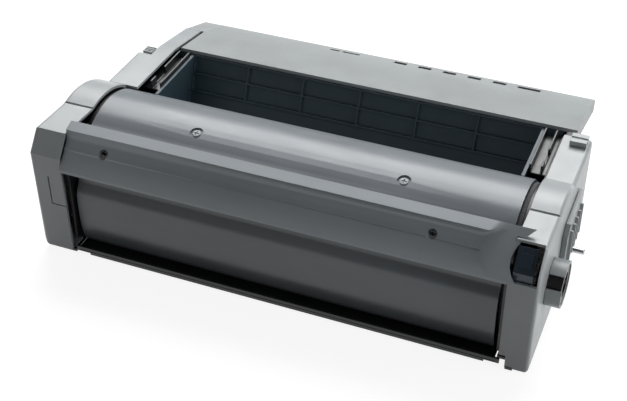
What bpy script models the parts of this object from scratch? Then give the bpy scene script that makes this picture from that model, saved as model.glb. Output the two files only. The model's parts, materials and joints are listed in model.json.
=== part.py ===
"""Toner cartridge: an all-in-one print cartridge for a laser printer.

The housing holds a toner hopper with two agitators, a developing unit, a photoconductor drum with its charge
roller and cleaning blade, and a waste toner box. A gear train under the right end cover turns them all from one
drive coupling.

Every size is in millimetres. A place is given as x along the cartridge from its middle, y back from the front
face and z up from the lower edge of the covers. The helpers turn these into metres, and one empty, the datum,
carries every piece, so that the origin comes to the middle of the surface the cartridge stands on.
"""

import math

import bmesh
import bpy
from mathutils import Matrix, Vector

MM = 0.001

# Clearances
GAP = 0.3
SHAFT_PLAY = 0.3

# Housing, overall
BODY_LENGTH = 325.6
COVER_TOP_FRONT = 85.3
COVER_TOP_BACK = 83.8
COVER_CHAMFER_BOTTOM = 72.3
COVER_CHAMFER_DEPTH = 9.5
COVER_BOTTOM = -1.0
FOOT_DROP = 1.5
COVER_WALL = 1.8
COVER_EDGE_RADIUS = 2.4
LEFT_CORNER_RADIUS = 9.0
LEFT_COVER_WIDTH = 21.5
LEFT_COVER_DEPTH = 85.7
RIGHT_COVER_WIDTH = 18.2
RIGHT_COVER_DEPTH = 136.0
SIDE_PLATE_HEIGHT = 77.0
HUMP_RADIUS = 50.0
HUMP_START = 44.5

# Left rear side cover
LEFT_SIDE_INSET = 7.5
LEFT_SIDE_STEP = 18.8
LEFT_SIDE_STEP_PLACE = 128.0
LEFT_SIDE_INNER_EDGE = 132.6
CLIP_LENGTH = 7.0
CLIP_RIBS = 3

# Rear top cover and its slots
REAR_COVER_FRONT = 146.0
REAR_COVER_FRONT_HEIGHT = 75.4
REAR_COVER_BEND = 181.8
REAR_COVER_BEND_HEIGHT = 69.5
REAR_COVER_BACK = 212.0
REAR_COVER_BACK_HEIGHT = 59.5
REAR_COVER_SKIRT = 9.0
REAR_COVER_RIGHT = 151.2
REAR_COVER_WALL = 2.0
SLOT_ROW_PLACE = 205.0
SLOT_WIDTH = 3.0
SLOT_LENGTH = 8.0
LONG_SLOT_LENGTH = 14.0
SLOT_PITCH = 18.1
SLOT_COUNT = 5
SLOT_ROW_START = 13.2

# Hopper barrel
BARREL_Y = 57.4
BARREL_Z = 35.8
BARREL_RADIUS = 48.0
BARREL_WALL = 2.4
BARREL_FRONT_ANGLE = 208.0
BARREL_BACK_ANGLE = 12.0
BARREL_LEFT_GAP = 3.7
BARREL_RIGHT_GAP = 5.5
FRAME_STEP = 1.5
COVER_SCREW_SPACING = 136.5
COVER_SCREW_ANGLE = 105.0
SCREW_RECESS_DIAMETER = 8.6
SCREW_RECESS_DEPTH = 1.2
SCREW_HEAD_DIAMETER = 5.6
SCREW_HEAD_HEIGHT = 1.1
SCREW_SHANK_DIAMETER = 2.9
SCREW_LENGTH = 7.0

# Hopper tub, under the barrel
TUB_BOTTOM = 3.0
TUB_WALL = 2.2
TUB_FRONT_CORNER = 6.0
TUB_LIP_REACH = 6.0

# Side frames
FRAME_THICKNESS = 2.0
FRAME_FRONT = 4.0
FRAME_BOTTOM = 2.5
FRAME_BACK = 206.0
FRAME_TOP_DROP = 5.0
FOOT_LENGTH = 14.0
FRONT_FOOT_PLACE = 13.0
REAR_FOOT_PLACE = 176.0

# Front grip, an open hollow strip
GRIP_TOP_Y = 17.0
GRIP_TOP_Z = 91.0
GRIP_BOTTOM_Y = -3.0
GRIP_BOTTOM_Z = 64.0
GRIP_LIP_HEIGHT = 3.2
GRIP_VALLEY_DEPTH = 5.4
GRIP_WALL = 2.2
GRIP_RAMP_LENGTH = 19.0
GRIP_HORN = 12.4
GRIP_STEPS = 9
GRIP_SCREW_HEIGHT = 78.4
GRIP_SCREW_LEFT = -113.0
GRIP_SCREW_RIGHT = 98.0
GRIP_SCREW_HOLE = 6.4
CROSSBAR_DEPTH = 7.0
CROSSBAR_HEIGHT = 13.0
CROSSBAR_WALL = 1.8

# Front bottom rail
RAIL_LEFT = -128.4
RAIL_RIGHT = 143.9
RAIL_HEIGHT = 5.6
RAIL_DEPTH = 11.0
RAIL_WALL = 1.6
RAIL_DROP = 1.7

# Guide rails beside the top opening
OPENING_LEFT = -121.5
OPENING_RIGHT = 131.0
GUIDE_WIDTH = 8.4
GUIDE_WALL = 1.3
GUIDE_FLOOR = 68.0
GUIDE_TOP = 75.2
GUIDE_FRONT = 99.0
GUIDE_SPLIT = 106.0
GUIDE_SPLIT_LENGTH = 13.0

# Waste toner housing behind the opening
RIBBED_TOP_Y = 147.0
RIBBED_TOP_Z = 72.5
RIBBED_BOTTOM_Y = 136.5
RIBBED_BOTTOM_Z = 48.0
RIB_COLUMNS = 6
RIB_ROWS = 2
RIB_DEPTH = 2.4
RIB_THICKNESS = 1.3
HOUSING_WALL = 2.2
HOUSING_BOTTOM = 4.0
HOUSING_BACK = 209.0

# Rollers, placed from the drum
DRUM_Y = 100.0
DRUM_Z = 17.0
DRUM_RADIUS = 15.0
DRUM_WALL = 0.8
DRUM_LEFT = -125.0
DRUM_RIGHT = 134.0
DRUM_SHAFT_RADIUS = 3.0
DRUM_PIN_RADIUS = 1.8
DRUM_PIN_REACH = 10.1
DEVELOPER_RADIUS = 9.2
DEVELOPER_DROP_ANGLE = 4.7
ROLLER_SHAFT_RADIUS = 3.0
SUPPLY_RADIUS = 7.5
SUPPLY_RISE_ANGLE = 5.0
CHARGE_RADIUS = 6.0
CHARGE_ANGLE = 30.0
CHARGE_SHAFT_RADIUS = 2.5
ROLLER_END_INSET = 9.0

# Blades
METERING_BLADE_THICKNESS = 0.8
METERING_BLADE_LENGTH = 13.0
METERING_CONTACT_ANGLE = 72.0
CLEANING_BLADE_THICKNESS = 2.0
CLEANING_BLADE_LENGTH = 9.0
BRACKET_THICKNESS = 1.2
SEAL_SHEET_THICKNESS = 0.6

# Agitators and waste auger
UPPER_AGITATOR_RADIUS = 19.5
LOWER_AGITATOR_RADIUS = 12.5
AGITATOR_SHAFT_RADIUS = 2.5
AGITATOR_BLADE = 1.6
AGITATOR_WINDOWS = 4
AUGER_PLACE = 26.0
AUGER_DROP = 6.0
AUGER_RADIUS = 4.0
AUGER_SHAFT_RADIUS = 2.0
AUGER_PITCH = 20.0
AUGER_STEPS = 8

# Gear train under the right end cover
MODULE = 1.0
TOOTH_SHARE = 0.40
ADDENDUM = 0.9
DEDENDUM = 1.25
DRIVE_TEETH = 20
UPPER_AGITATOR_TEETH = 20
LOWER_AGITATOR_TEETH = 18
IDLER_TEETH = 20
SUPPLY_TEETH = 13
DEVELOPER_TEETH = 21
DRUM_TEETH = 28
WASTE_IDLER_TEETH = 16
AUGER_TEETH = 12
GEAR_WIDTH = 4.5
GEAR_LAYER_GAP = 0.8
GEAR_START = 1.6
STUD_RADIUS = 2.5

# Drive coupling on the right side
COUPLING_Y = 34.0
COUPLING_Z = 43.0
COUPLING_RADIUS = 14.4
COUPLING_REACH = 9.8
COLLAR_WALL = 1.7
COLLAR_WINDOW_START = 124.0
COLLAR_WINDOW_END = 161.0
COUPLING_HUB_RADIUS = 11.8
COUPLING_SOCKET_RADIUS = 7.5
COUPLING_DOGS = 3

# Memory chip pocket at the right front corner
POCKET_INNER_X = 146.4
POCKET_OUTER_X = 161.2
POCKET_BOTTOM = 64.5
POCKET_DEPTH = 12.5
CHIP_HOLDER_WIDTH = 11.6
CHIP_SIZE = 8.0

SEGMENTS = 24

# Small features
PANEL_WIDTH = 10.5
PANEL_FOOT = 35.0
PANEL_HEIGHT = 22.0
GROOVE_WIDTH = 0.9
GROOVE_DEPTH = 0.8
CLIP_HEIGHT = 4.0
LATCH_WIDTH = 10.5
LATCH_LENGTH = 10.0
LATCH_HEIGHT = 3.4
GEAR_COVER_FRONT = 60.0
GEAR_COVER_BACK = 104.0
GEAR_COVER_FOOT = 28.0
GEAR_COVER_TOP = 62.0
GEAR_COVER_HEIGHT = 3.0
GEAR_COVER_RIBS = 5
CAP_WALL = 2.0
PLUG = (71.0, 62.0)
PLUG_RADIUS = 9.0
CROSSBAR_FRONT = 12.0
CROSSBAR_TOP = 81.0
GRIP_SCREW_SEAT = 9.0
RIBBED_LEAN = (RIBBED_TOP_Y - RIBBED_BOTTOM_Y) / (RIBBED_TOP_Z - RIBBED_BOTTOM_Z)
BLADE_SEAT_Y = 127.2
BLADE_SEAT_FOOT = 22.5
BRACKET_LEG = 8.0
BLADE_ANGLE = 32.0
CLEANING_CONTACT_ANGLE = -14.0
FLANGE_HUB_RADIUS = 5.5
FLANGE_DEPTH = 8.0
GEAR_HUB_RADIUS = 7.5
COUPLING_SHAFT_RADIUS = 4.0
CHARGE_BLOCK = 8.0
CHARGE_BLOCK_WIDTH = 4.6
SPRING_WIRE = 0.6
SPRING_RADIUS = 1.8
SPRING_LENGTH = 2.6
SPRING_TURNS = 3
CHIP_DROP = 2.4
CHIP_HOLDER_THICKNESS = 2.0
CHIP_THICKNESS = 0.8


# Values that follow from the sizes above

LEFT_X = -BODY_LENGTH / 2
RIGHT_X = BODY_LENGTH / 2
LEFT_COVER_INNER = LEFT_X + LEFT_COVER_WIDTH
RIGHT_COVER_INNER = RIGHT_X - RIGHT_COVER_WIDTH
LEFT_FRAME_OUTER = LEFT_COVER_INNER + GAP
LEFT_FRAME_INNER = LEFT_FRAME_OUTER + FRAME_THICKNESS
RIGHT_FRAME_OUTER = RIGHT_COVER_INNER - GAP
RIGHT_FRAME_INNER = RIGHT_FRAME_OUTER - FRAME_THICKNESS
BARREL_LEFT = LEFT_COVER_INNER + BARREL_LEFT_GAP
BARREL_RIGHT = RIGHT_COVER_INNER - BARREL_RIGHT_GAP
FOOT_BOTTOM = COVER_BOTTOM - FOOT_DROP
INNER_LEFT = LEFT_FRAME_INNER + GAP
INNER_RIGHT = RIGHT_FRAME_INNER - GAP
PIN_TIP_X = RIGHT_X + DRUM_PIN_REACH

DATUM_X = (LEFT_X + PIN_TIP_X) / 2
DATUM_Y = (GRIP_BOTTOM_Y + REAR_COVER_BACK) / 2
DATUM_Z = FOOT_BOTTOM


def polar(centre, radius, angle):
    """Point (y, z) at an angle in degrees, counted from +y towards +z."""
    turn = math.radians(angle)
    return centre[0] + radius * math.cos(turn), centre[1] + radius * math.sin(turn)


def pitch_radius(teeth):
    return MODULE * teeth / 2


def third_corner(first, second, reach_first, reach_second, side):
    """Centre that lies reach_first from first and reach_second from second, on one side of their line."""
    line = Vector(second) - Vector(first)
    span = line.length
    along = (span ** 2 + reach_first ** 2 - reach_second ** 2) / (2 * span)
    off = math.sqrt(max(reach_first ** 2 - along ** 2, 0.0))
    unit = line / span
    normal = Vector((-unit.y, unit.x)) * side
    point = Vector(first) + unit * along + normal * off
    return point.x, point.y


DRUM = (DRUM_Y, DRUM_Z)
BARREL = (BARREL_Y, BARREL_Z)
DEVELOPER = polar(DRUM, pitch_radius(DRUM_TEETH + DEVELOPER_TEETH), 180 + DEVELOPER_DROP_ANGLE)
SUPPLY = polar(DEVELOPER, pitch_radius(DEVELOPER_TEETH + SUPPLY_TEETH), 180 - SUPPLY_RISE_ANGLE)
CHARGE = polar(DRUM, DRUM_RADIUS + CHARGE_RADIUS + GAP, CHARGE_ANGLE)
COUPLING = (COUPLING_Y, COUPLING_Z)
UPPER_AGITATOR = polar(COUPLING, pitch_radius(DRIVE_TEETH + UPPER_AGITATOR_TEETH), 27.0)
LOWER_AGITATOR = polar(COUPLING, pitch_radius(DRIVE_TEETH + LOWER_AGITATOR_TEETH), -100.0)
IDLER = third_corner(COUPLING, SUPPLY, pitch_radius(DRIVE_TEETH + IDLER_TEETH),
                     pitch_radius(IDLER_TEETH + SUPPLY_TEETH), 1)
AUGER = (DRUM_Y + AUGER_PLACE, DRUM_Z - AUGER_DROP)
WASTE_IDLER = third_corner(DRUM, AUGER, pitch_radius(DRUM_TEETH + WASTE_IDLER_TEETH),
                           pitch_radius(WASTE_IDLER_TEETH + AUGER_TEETH), 1)

INNER_LAYER = RIGHT_COVER_INNER + GEAR_START
OUTER_LAYER = INNER_LAYER + GEAR_WIDTH + GEAR_LAYER_GAP


# Local X and Y of a profile lie along the cartridge's y and z, and its local Z along x.
ACROSS = (math.pi / 2, 0.0, math.pi / 2)


# Scene, materials and placing


def clear_scene():
    for item in list(bpy.data.objects):
        bpy.data.objects.remove(item, do_unlink=True)


def linear(value):
    return value / 12.92 if value <= 0.04045 else ((value + 0.055) / 1.055) ** 2.4


def finish(name, colour, roughness, metallic=0.0):
    """Principled material; the colour is an sRGB hex value."""
    material = bpy.data.materials.new(name)
    material.use_nodes = True
    shader = material.node_tree.nodes["Principled BSDF"]
    channels = [int(colour[i:i + 2], 16) / 255 for i in (0, 2, 4)]
    shader.inputs["Base Color"].default_value = (*[linear(c) for c in channels], 1.0)
    shader.inputs["Roughness"].default_value = roughness
    shader.inputs["Metallic"].default_value = metallic
    material.diffuse_color = shader.inputs["Base Color"].default_value
    return material


def make_finishes():
    return {
        "cover_grey": finish("cover_grey", "9C9FA1", 0.42),
        "barrel_grey": finish("barrel_grey", "85898D", 0.38),
        "frame_black": finish("frame_black", "16181A", 0.5),
        "waste_blue_black": finish("waste_blue_black", "2B3940", 0.45),
        "gear_white": finish("gear_white", "D9D8D0", 0.45),
        "steel": finish("steel", "B4B7BA", 0.28, 1.0),
        "drum_coat": finish("drum_coat", "3E7F86", 0.18),
        "rubber_black": finish("rubber_black", "1A1A1C", 0.7),
        "foam_grey": finish("foam_grey", "4A4B4E", 0.9),
        "blade_rubber": finish("blade_rubber", "B9863C", 0.6),
        "contact_metal": finish("contact_metal", "C8B26A", 0.3, 1.0),
        "chip_blue": finish("chip_blue", "1D3340", 0.35),
    }


class Builder:
    """Makes the pieces, keeps their collections and hangs each one on the datum."""

    def __init__(self):
        scene = bpy.context.scene
        self.parts = bpy.data.collections.new("toner_cartridge")
        self.cutters = bpy.data.collections.new("cutters")
        scene.collection.children.link(self.parts)
        scene.collection.children.link(self.cutters)
        self.finishes = make_finishes()
        self.datum = bpy.data.objects.new("datum", None)
        self.datum.location = (-DATUM_X * MM, -DATUM_Y * MM, -DATUM_Z * MM)
        self.parts.objects.link(self.datum)

    def place(self, piece, x=0.0, y=0.0, z=0.0, rotation=(0.0, 0.0, 0.0), material=None, cutter=False):
        """Puts a piece at (x, y, z) from the datum, in its collection and with its material."""
        target = self.cutters if cutter else self.parts
        for owner in list(piece.users_collection):
            owner.objects.unlink(piece)
        target.objects.link(piece)
        piece.parent = self.datum
        piece.location = (x * MM, y * MM, z * MM)
        piece.rotation_euler = rotation
        if cutter:
            piece.hide_render = True
            piece.display_type = "WIRE"
        else:
            piece.data.materials.clear()
            piece.data.materials.append(self.finishes[material])
        return piece

    def cutter(self, piece, x=0.0, y=0.0, z=0.0, rotation=(0.0, 0.0, 0.0)):
        return self.place(piece, x, y, z, rotation, cutter=True)

    def boolean(self, piece, other, operation):
        step = piece.modifiers.new(other.name, "BOOLEAN")
        step.operation = operation
        step.solver = "EXACT"
        step.object = other
        return step


def mesh_object(name, mesh_data):
    mesh = bpy.data.meshes.new(name)
    mesh_data.to_mesh(mesh)
    mesh_data.free()
    return bpy.data.objects.new(name, mesh)


def plate(name, loops, thickness):
    """Flat outline with holes: a filled 2D curve, made a mesh and welded. It is centred on its thickness."""
    curve = bpy.data.curves.new(name, "CURVE")
    curve.dimensions = "2D"
    curve.fill_mode = "BOTH"
    curve.extrude = thickness / 2 * MM
    for loop in loops:
        spline = curve.splines.new("POLY")
        spline.points.add(len(loop) - 1)
        for point, (u, v) in zip(spline.points, loop):
            point.co = (u * MM, v * MM, 0.0, 1.0)
        spline.use_cyclic_u = True
    return solid_from_curve(name, curve)


def solid_from_curve(name, curve):
    """Mesh of a curve, with its caps welded on."""
    outline = bpy.data.objects.new(name + "_curve", curve)
    bpy.context.scene.collection.objects.link(outline)
    evaluated = outline.evaluated_get(bpy.context.evaluated_depsgraph_get())
    mesh = bpy.data.meshes.new_from_object(evaluated)
    bpy.data.objects.remove(outline, do_unlink=True)
    data = bmesh.new()
    data.from_mesh(mesh)
    bmesh.ops.remove_doubles(data, verts=data.verts, dist=0.00001)
    bmesh.ops.recalc_face_normals(data, faces=data.faces)
    bpy.data.meshes.remove(mesh)
    return mesh_object(name, data)


def circle(centre, radius, steps=SEGMENTS):
    return [polar(centre, radius, 360 * step / steps) for step in range(steps)]


def arc(centre, radius, start, end, steps):
    return [polar(centre, radius, start + (end - start) * step / steps) for step in range(steps + 1)]


def box(name, size):
    """Box centred on its origin."""
    data = bmesh.new()
    bmesh.ops.create_cube(data, size=1.0)
    bmesh.ops.scale(data, vec=Vector(size) * MM, verts=data.verts)
    return mesh_object(name, data)


def cylinder(name, radius, length, steps=SEGMENTS):
    """Cylinder along its local Z, centred."""
    data = bmesh.new()
    bmesh.ops.create_cone(data, cap_ends=True, segments=steps, radius1=radius * MM, radius2=radius * MM,
                          depth=length * MM)
    return mesh_object(name, data)


def turned(name, profile, steps=SEGMENTS):
    """Turned piece about its local Z. The profile is (radius, height) points, down the outer side."""
    data = bmesh.new()
    points = [data.verts.new((radius * MM, 0.0, height * MM)) for radius, height in profile]
    for start, end in zip(points, points[1:]):
        data.edges.new((start, end))
    closed = profile[0][0] > 0
    if closed:
        data.edges.new((points[-1], points[0]))
    piece = mesh_object(name, data)
    screw = piece.modifiers.new("turn", "SCREW")
    screw.axis = "Z"
    screw.steps = steps
    screw.render_steps = steps
    screw.use_merge_vertices = True
    screw.merge_threshold = 0.00001
    screw.use_smooth_shade = True
    return piece


def bent_sheet(name, path, start, end, thickness, outer_on_left=True):
    """Sheet that follows a (y, z) path and runs along x. The path is its outer side, on the left or the right."""
    data = bmesh.new()
    near = [data.verts.new((y * MM, z * MM, start * MM)) for y, z in path]
    far = [data.verts.new((y * MM, z * MM, end * MM)) for y, z in path]
    for i in range(len(path) - 1):
        data.faces.new((near[i], near[i + 1], far[i + 1], far[i]))
    piece = mesh_object(name, data)
    wall = piece.modifiers.new("wall", "SOLIDIFY")
    wall.thickness = thickness * MM
    wall.offset = 1.0 if outer_on_left else -1.0
    wall.use_even_offset = True
    return piece


def open_shell(name, outline, closed_x, open_x, wall, radius, wide_edges=(), wide_radius=None):
    """Cover with a (y, z) outline, a side wall at closed_x and an open side at open_x. Rounded, then walled."""
    data = bmesh.new()
    weight = data.edges.layers.float.new("bevel_weight_edge")
    widest = wide_radius if wide_radius else radius
    outer = [data.verts.new((y * MM, z * MM, closed_x * MM)) for y, z in outline]
    inner = [data.verts.new((y * MM, z * MM, open_x * MM)) for y, z in outline]
    data.faces.new(outer)
    count = len(outline)
    for i in range(count):
        j = (i + 1) % count
        data.faces.new((outer[i], inner[i], inner[j], outer[j]))
    bmesh.ops.recalc_face_normals(data, faces=data.faces)
    data.edges.ensure_lookup_table()
    for i in range(count):
        j = (i + 1) % count
        edge = data.edges.get((outer[i], outer[j]))
        edge[weight] = 1.0 if i in wide_edges else radius / widest
    data.faces.ensure_lookup_table()
    if (data.faces[0].normal.z > 0) != (closed_x > open_x):
        bmesh.ops.reverse_faces(data, faces=data.faces)
    piece = mesh_object(name, data)
    rounding = piece.modifiers.new("rounding", "BEVEL")
    rounding.limit_method = "WEIGHT"
    rounding.width = widest * MM
    rounding.segments = 3
    shell = piece.modifiers.new("shell", "SOLIDIFY")
    shell.thickness = wall * MM
    shell.offset = -1.0
    shell.use_even_offset = True
    return piece


def bent_ring(name, outline, closed_x, open_x, wall):
    """Open shell like open_shell, with sharp edges."""
    piece = open_shell(name, outline, closed_x, open_x, wall, 1.0)
    piece.modifiers.remove(piece.modifiers["rounding"])
    return piece


# Outer covers


def end_cover_outline(depth, plate_height=None):
    """Side view of an end cover: front face, chamfer, top and the hump over the barrel, then a plate if it has one."""
    hump_start = math.degrees(math.acos((HUMP_START - BARREL_Y) / HUMP_RADIUS))
    if plate_height:
        hump_end = math.degrees(math.asin((plate_height - BARREL_Z) / HUMP_RADIUS))
        back = [(depth, plate_height), (depth, COVER_BOTTOM)]
    else:
        hump_end = math.degrees(math.acos((depth - BARREL_Y) / HUMP_RADIUS))
        back = [(depth, COVER_BOTTOM)]
    hump = arc(BARREL, HUMP_RADIUS, hump_start, hump_end, 10)
    front = [(0.0, COVER_BOTTOM), (-1.2, COVER_CHAMFER_BOTTOM), (COVER_CHAMFER_DEPTH, COVER_TOP_FRONT),
             (HUMP_START - 3.0, COVER_TOP_BACK)]
    return front + hump + back


def left_end_cover(b):
    outline = end_cover_outline(LEFT_COVER_DEPTH)
    bottom_edge = len(outline) - 1
    piece = open_shell("left_end_cover", outline, LEFT_X, LEFT_COVER_INNER, COVER_WALL, COVER_EDGE_RADIUS,
                       wide_edges=(bottom_edge,), wide_radius=LEFT_CORNER_RADIUS)
    b.place(piece, rotation=ACROSS, material="cover_grey")
    near = LEFT_COVER_INNER - PANEL_WIDTH
    far = LEFT_COVER_INNER + 2.0
    top = PANEL_FOOT + PANEL_HEIGHT
    panel = [(near, top), (near, PANEL_FOOT), (far, PANEL_FOOT), (far, PANEL_FOOT + GROOVE_WIDTH),
             (near + GROOVE_WIDTH, PANEL_FOOT + GROOVE_WIDTH), (near + GROOVE_WIDTH, top)]
    groove = b.cutter(plate("left_panel_groove", [panel], 2 * GROOVE_DEPTH), y=-0.6, rotation=(math.pi / 2, 0.0, 0.0))
    b.boolean(piece, groove, "DIFFERENCE")
    step = b.cutter(box("left_top_groove", (4 * LEFT_COVER_WIDTH, GROOVE_WIDTH * 2, 2 * GROOVE_DEPTH)), LEFT_X,
                    HUMP_START - 1.5, COVER_TOP_BACK)
    b.boolean(piece, step, "DIFFERENCE")


def left_side_cover(b):
    """Cover behind the left end cover: two boxes in step, under one plate that slopes with the rear cover."""
    front = LEFT_COVER_DEPTH + GAP
    outer = LEFT_X + LEFT_SIDE_INSET
    stepped = LEFT_X + LEFT_SIDE_STEP
    level_end = REAR_COVER_FRONT - 5.0
    slope = [(front, SIDE_PLATE_HEIGHT), (level_end, SIDE_PLATE_HEIGHT - 0.6),
             (REAR_COVER_BEND, REAR_COVER_BEND_HEIGHT)]
    box_front = [(front, HOUSING_BOTTOM), (front, SIDE_PLATE_HEIGHT), (LEFT_SIDE_STEP_PLACE, SIDE_PLATE_HEIGHT - 0.4),
                 (LEFT_SIDE_STEP_PLACE, HOUSING_BOTTOM)]
    piece = open_shell("left_side_cover", box_front, outer, LEFT_COVER_INNER, COVER_WALL, COVER_EDGE_RADIUS)
    b.place(piece, rotation=ACROSS, material="cover_grey")
    box_back = [(LEFT_SIDE_STEP_PLACE - 1.0, HOUSING_BOTTOM), (LEFT_SIDE_STEP_PLACE - 1.0, SIDE_PLATE_HEIGHT - 1.0),
                (level_end, SIDE_PLATE_HEIGHT - 1.2), (REAR_COVER_BEND - 0.5, REAR_COVER_BEND_HEIGHT - 0.6),
                (REAR_COVER_BEND - 0.5, HOUSING_BOTTOM)]
    # The back box is narrow, so its edges stay sharp.
    back = bent_ring("left_side_back", box_back, stepped, LEFT_COVER_INNER, COVER_WALL)
    b.cutter(back, rotation=ACROSS)
    b.boolean(piece, back, "UNION")
    top = bent_sheet("left_side_plate", slope, stepped - 0.5, -LEFT_SIDE_INNER_EDGE, COVER_WALL)
    b.cutter(top, rotation=ACROSS)
    b.boolean(piece, top, "UNION")


def side_clip(b):
    """Small ribbed clip in the step of the left side cover."""
    width = LEFT_SIDE_STEP - LEFT_SIDE_INSET - 4.0
    ribs = 2 * CLIP_RIBS + 1
    pitch = CLIP_LENGTH / ribs
    outline = [(0.0, 0.0)]
    for i in range(ribs):
        height = CLIP_HEIGHT if i % 2 == 0 else CLIP_HEIGHT - 0.8
        outline += [(i * pitch, height), ((i + 1) * pitch, height)]
    outline.append((CLIP_LENGTH, 0.0))
    piece = plate("side_clip", [outline], width)
    x = LEFT_X + LEFT_SIDE_STEP - width / 2 - 3 * GAP
    b.place(piece, x, LEFT_SIDE_STEP_PLACE + 2.4, SIDE_PLATE_HEIGHT - CLIP_HEIGHT, ACROSS, "cover_grey")


def right_end_cover(b):
    outline = end_cover_outline(RIGHT_COVER_DEPTH, SIDE_PLATE_HEIGHT)
    piece = open_shell("right_end_cover", outline, RIGHT_X, RIGHT_COVER_INNER, COVER_WALL, COVER_EDGE_RADIUS)
    b.place(piece, rotation=ACROSS, material="cover_grey")
    pocket_height = 30.0
    pocket = b.cutter(box("chip_pocket", (POCKET_OUTER_X - POCKET_INNER_X, 2 * POCKET_DEPTH, pocket_height)),
                      (POCKET_OUTER_X + POCKET_INNER_X) / 2, 0.0, POCKET_BOTTOM + pocket_height / 2)
    b.boolean(piece, pocket, "DIFFERENCE")
    hub = b.cutter(cylinder("coupling_hole", COUPLING_HUB_RADIUS + SHAFT_PLAY, 3 * COVER_WALL), RIGHT_X,
                   COUPLING_Y, COUPLING_Z, ACROSS)
    b.boolean(piece, hub, "DIFFERENCE")
    pin = b.cutter(cylinder("drum_pin_hole", DRUM_PIN_RADIUS + SHAFT_PLAY, 3 * COVER_WALL, 12), RIGHT_X,
                   DRUM_Y, DRUM_Z, ACROSS)
    b.boolean(piece, pin, "DIFFERENCE")
    step = b.cutter(box("right_top_groove", (4 * RIGHT_COVER_WIDTH, GROOVE_WIDTH * 2, 2 * GROOVE_DEPTH)), RIGHT_X,
                    HUMP_START - 1.5, COVER_TOP_BACK)
    b.boolean(piece, step, "DIFFERENCE")


def top_latch(b):
    """Low block with a groove, at the back of the right end cover's plate."""
    outline = [(0.0, 0.0), (0.0, LATCH_HEIGHT), (LATCH_LENGTH * 0.4, LATCH_HEIGHT),
               (LATCH_LENGTH * 0.45, LATCH_HEIGHT - 1.0), (LATCH_LENGTH * 0.55, LATCH_HEIGHT - 1.0),
               (LATCH_LENGTH * 0.6, LATCH_HEIGHT), (LATCH_LENGTH, LATCH_HEIGHT), (LATCH_LENGTH, 0.0)]
    piece = plate("top_latch", [outline], LATCH_WIDTH)
    b.place(piece, RIGHT_X - COVER_EDGE_RADIUS - LATCH_WIDTH / 2, RIGHT_COVER_DEPTH - LATCH_LENGTH - 1.0,
            SIDE_PLATE_HEIGHT + GAP, ACROSS, "cover_grey")


def side_gear_cover(b):
    """Raised cover on the right side face, with upright ribs."""
    outline = [(GEAR_COVER_FRONT, GEAR_COVER_FOOT), (GEAR_COVER_FRONT, GEAR_COVER_TOP - 6.0),
               (GEAR_COVER_FRONT + 6.0, GEAR_COVER_TOP), (GEAR_COVER_BACK, GEAR_COVER_TOP),
               (GEAR_COVER_BACK, GEAR_COVER_FOOT + 8.0), (GEAR_COVER_BACK - 8.0, GEAR_COVER_FOOT)]
    piece = plate("side_gear_cover", [outline], GEAR_COVER_HEIGHT)
    x = RIGHT_X + GAP + GEAR_COVER_HEIGHT / 2
    b.place(piece, x, rotation=ACROSS, material="cover_grey")
    pitch = (GEAR_COVER_BACK - GEAR_COVER_FRONT - 8.0) / GEAR_COVER_RIBS
    for i in range(GEAR_COVER_RIBS):
        y = GEAR_COVER_FRONT + 7.0 + i * pitch
        rib = b.cutter(box("gear_cover_rib_%d" % i, (GEAR_COVER_HEIGHT + 2.0, 1.4, GEAR_COVER_TOP - GEAR_COVER_FOOT - 12.0)),
                       x + 1.0, y, (GEAR_COVER_TOP + GEAR_COVER_FOOT) / 2 + 1.0)
        b.boolean(piece, rib, "UNION")


def coupling_collar(b):
    """Round guard on the right side face, open at a window towards the front."""
    length = COUPLING_REACH - 0.6
    profile = [(COUPLING_RADIUS, length / 2), (COUPLING_RADIUS, -length / 2),
               (COUPLING_RADIUS - COLLAR_WALL, -length / 2), (COUPLING_RADIUS - COLLAR_WALL, length / 2)]
    piece = turned("coupling_collar", profile, 32)
    x = RIGHT_X + GAP + length / 2
    b.place(piece, x, COUPLING_Y, COUPLING_Z, ACROSS, "cover_grey")
    reach = COUPLING_RADIUS + 5.0
    window = [(0.0, 0.0)] + arc((0.0, 0.0), reach, COLLAR_WINDOW_START, COLLAR_WINDOW_END, 3)
    cut = b.cutter(plate("collar_window", [window], 2 * length), x, COUPLING_Y, COUPLING_Z, ACROSS)
    b.boolean(piece, cut, "DIFFERENCE")


# Hopper


def radial_place(angle, radius):
    y, z = polar(BARREL, radius, angle)
    return y, z


def hopper_cover(b):
    path = arc(BARREL, BARREL_RADIUS, BARREL_FRONT_ANGLE, BARREL_BACK_ANGLE, 36)
    piece = bent_sheet("hopper_cover", path, BARREL_LEFT, BARREL_RIGHT, BARREL_WALL)
    b.place(piece, rotation=ACROSS, material="barrel_grey")
    for x in (-COVER_SCREW_SPACING / 2, COVER_SCREW_SPACING / 2):
        tilt = (math.radians(COVER_SCREW_ANGLE - 90), 0.0, 0.0)
        y, z = radial_place(COVER_SCREW_ANGLE, BARREL_RADIUS - SCREW_RECESS_DEPTH + 3.0)
        recess = b.cutter(cylinder("cover_recess", SCREW_RECESS_DIAMETER / 2, 6.0, 20), x, y, z, tilt)
        b.boolean(piece, recess, "DIFFERENCE")
        y, z = radial_place(COVER_SCREW_ANGLE, BARREL_RADIUS - BARREL_WALL)
        hole = b.cutter(cylinder("cover_screw_hole", SCREW_SHANK_DIAMETER / 2 + GAP, 4 * BARREL_WALL, 12), x, y, z, tilt)
        b.boolean(piece, hole, "DIFFERENCE")


def screw_profile(length):
    """Pan-head screw; its seat is at height 0 and the shank runs down from it."""
    head = SCREW_HEAD_DIAMETER / 2
    shank = SCREW_SHANK_DIAMETER / 2
    return [(0.0, SCREW_HEAD_HEIGHT), (head * 0.8, SCREW_HEAD_HEIGHT), (head, SCREW_HEAD_HEIGHT * 0.5), (head, 0.0),
            (shank, 0.0), (shank, -length + 0.8), (shank * 0.6, -length), (0.0, -length)]


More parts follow.
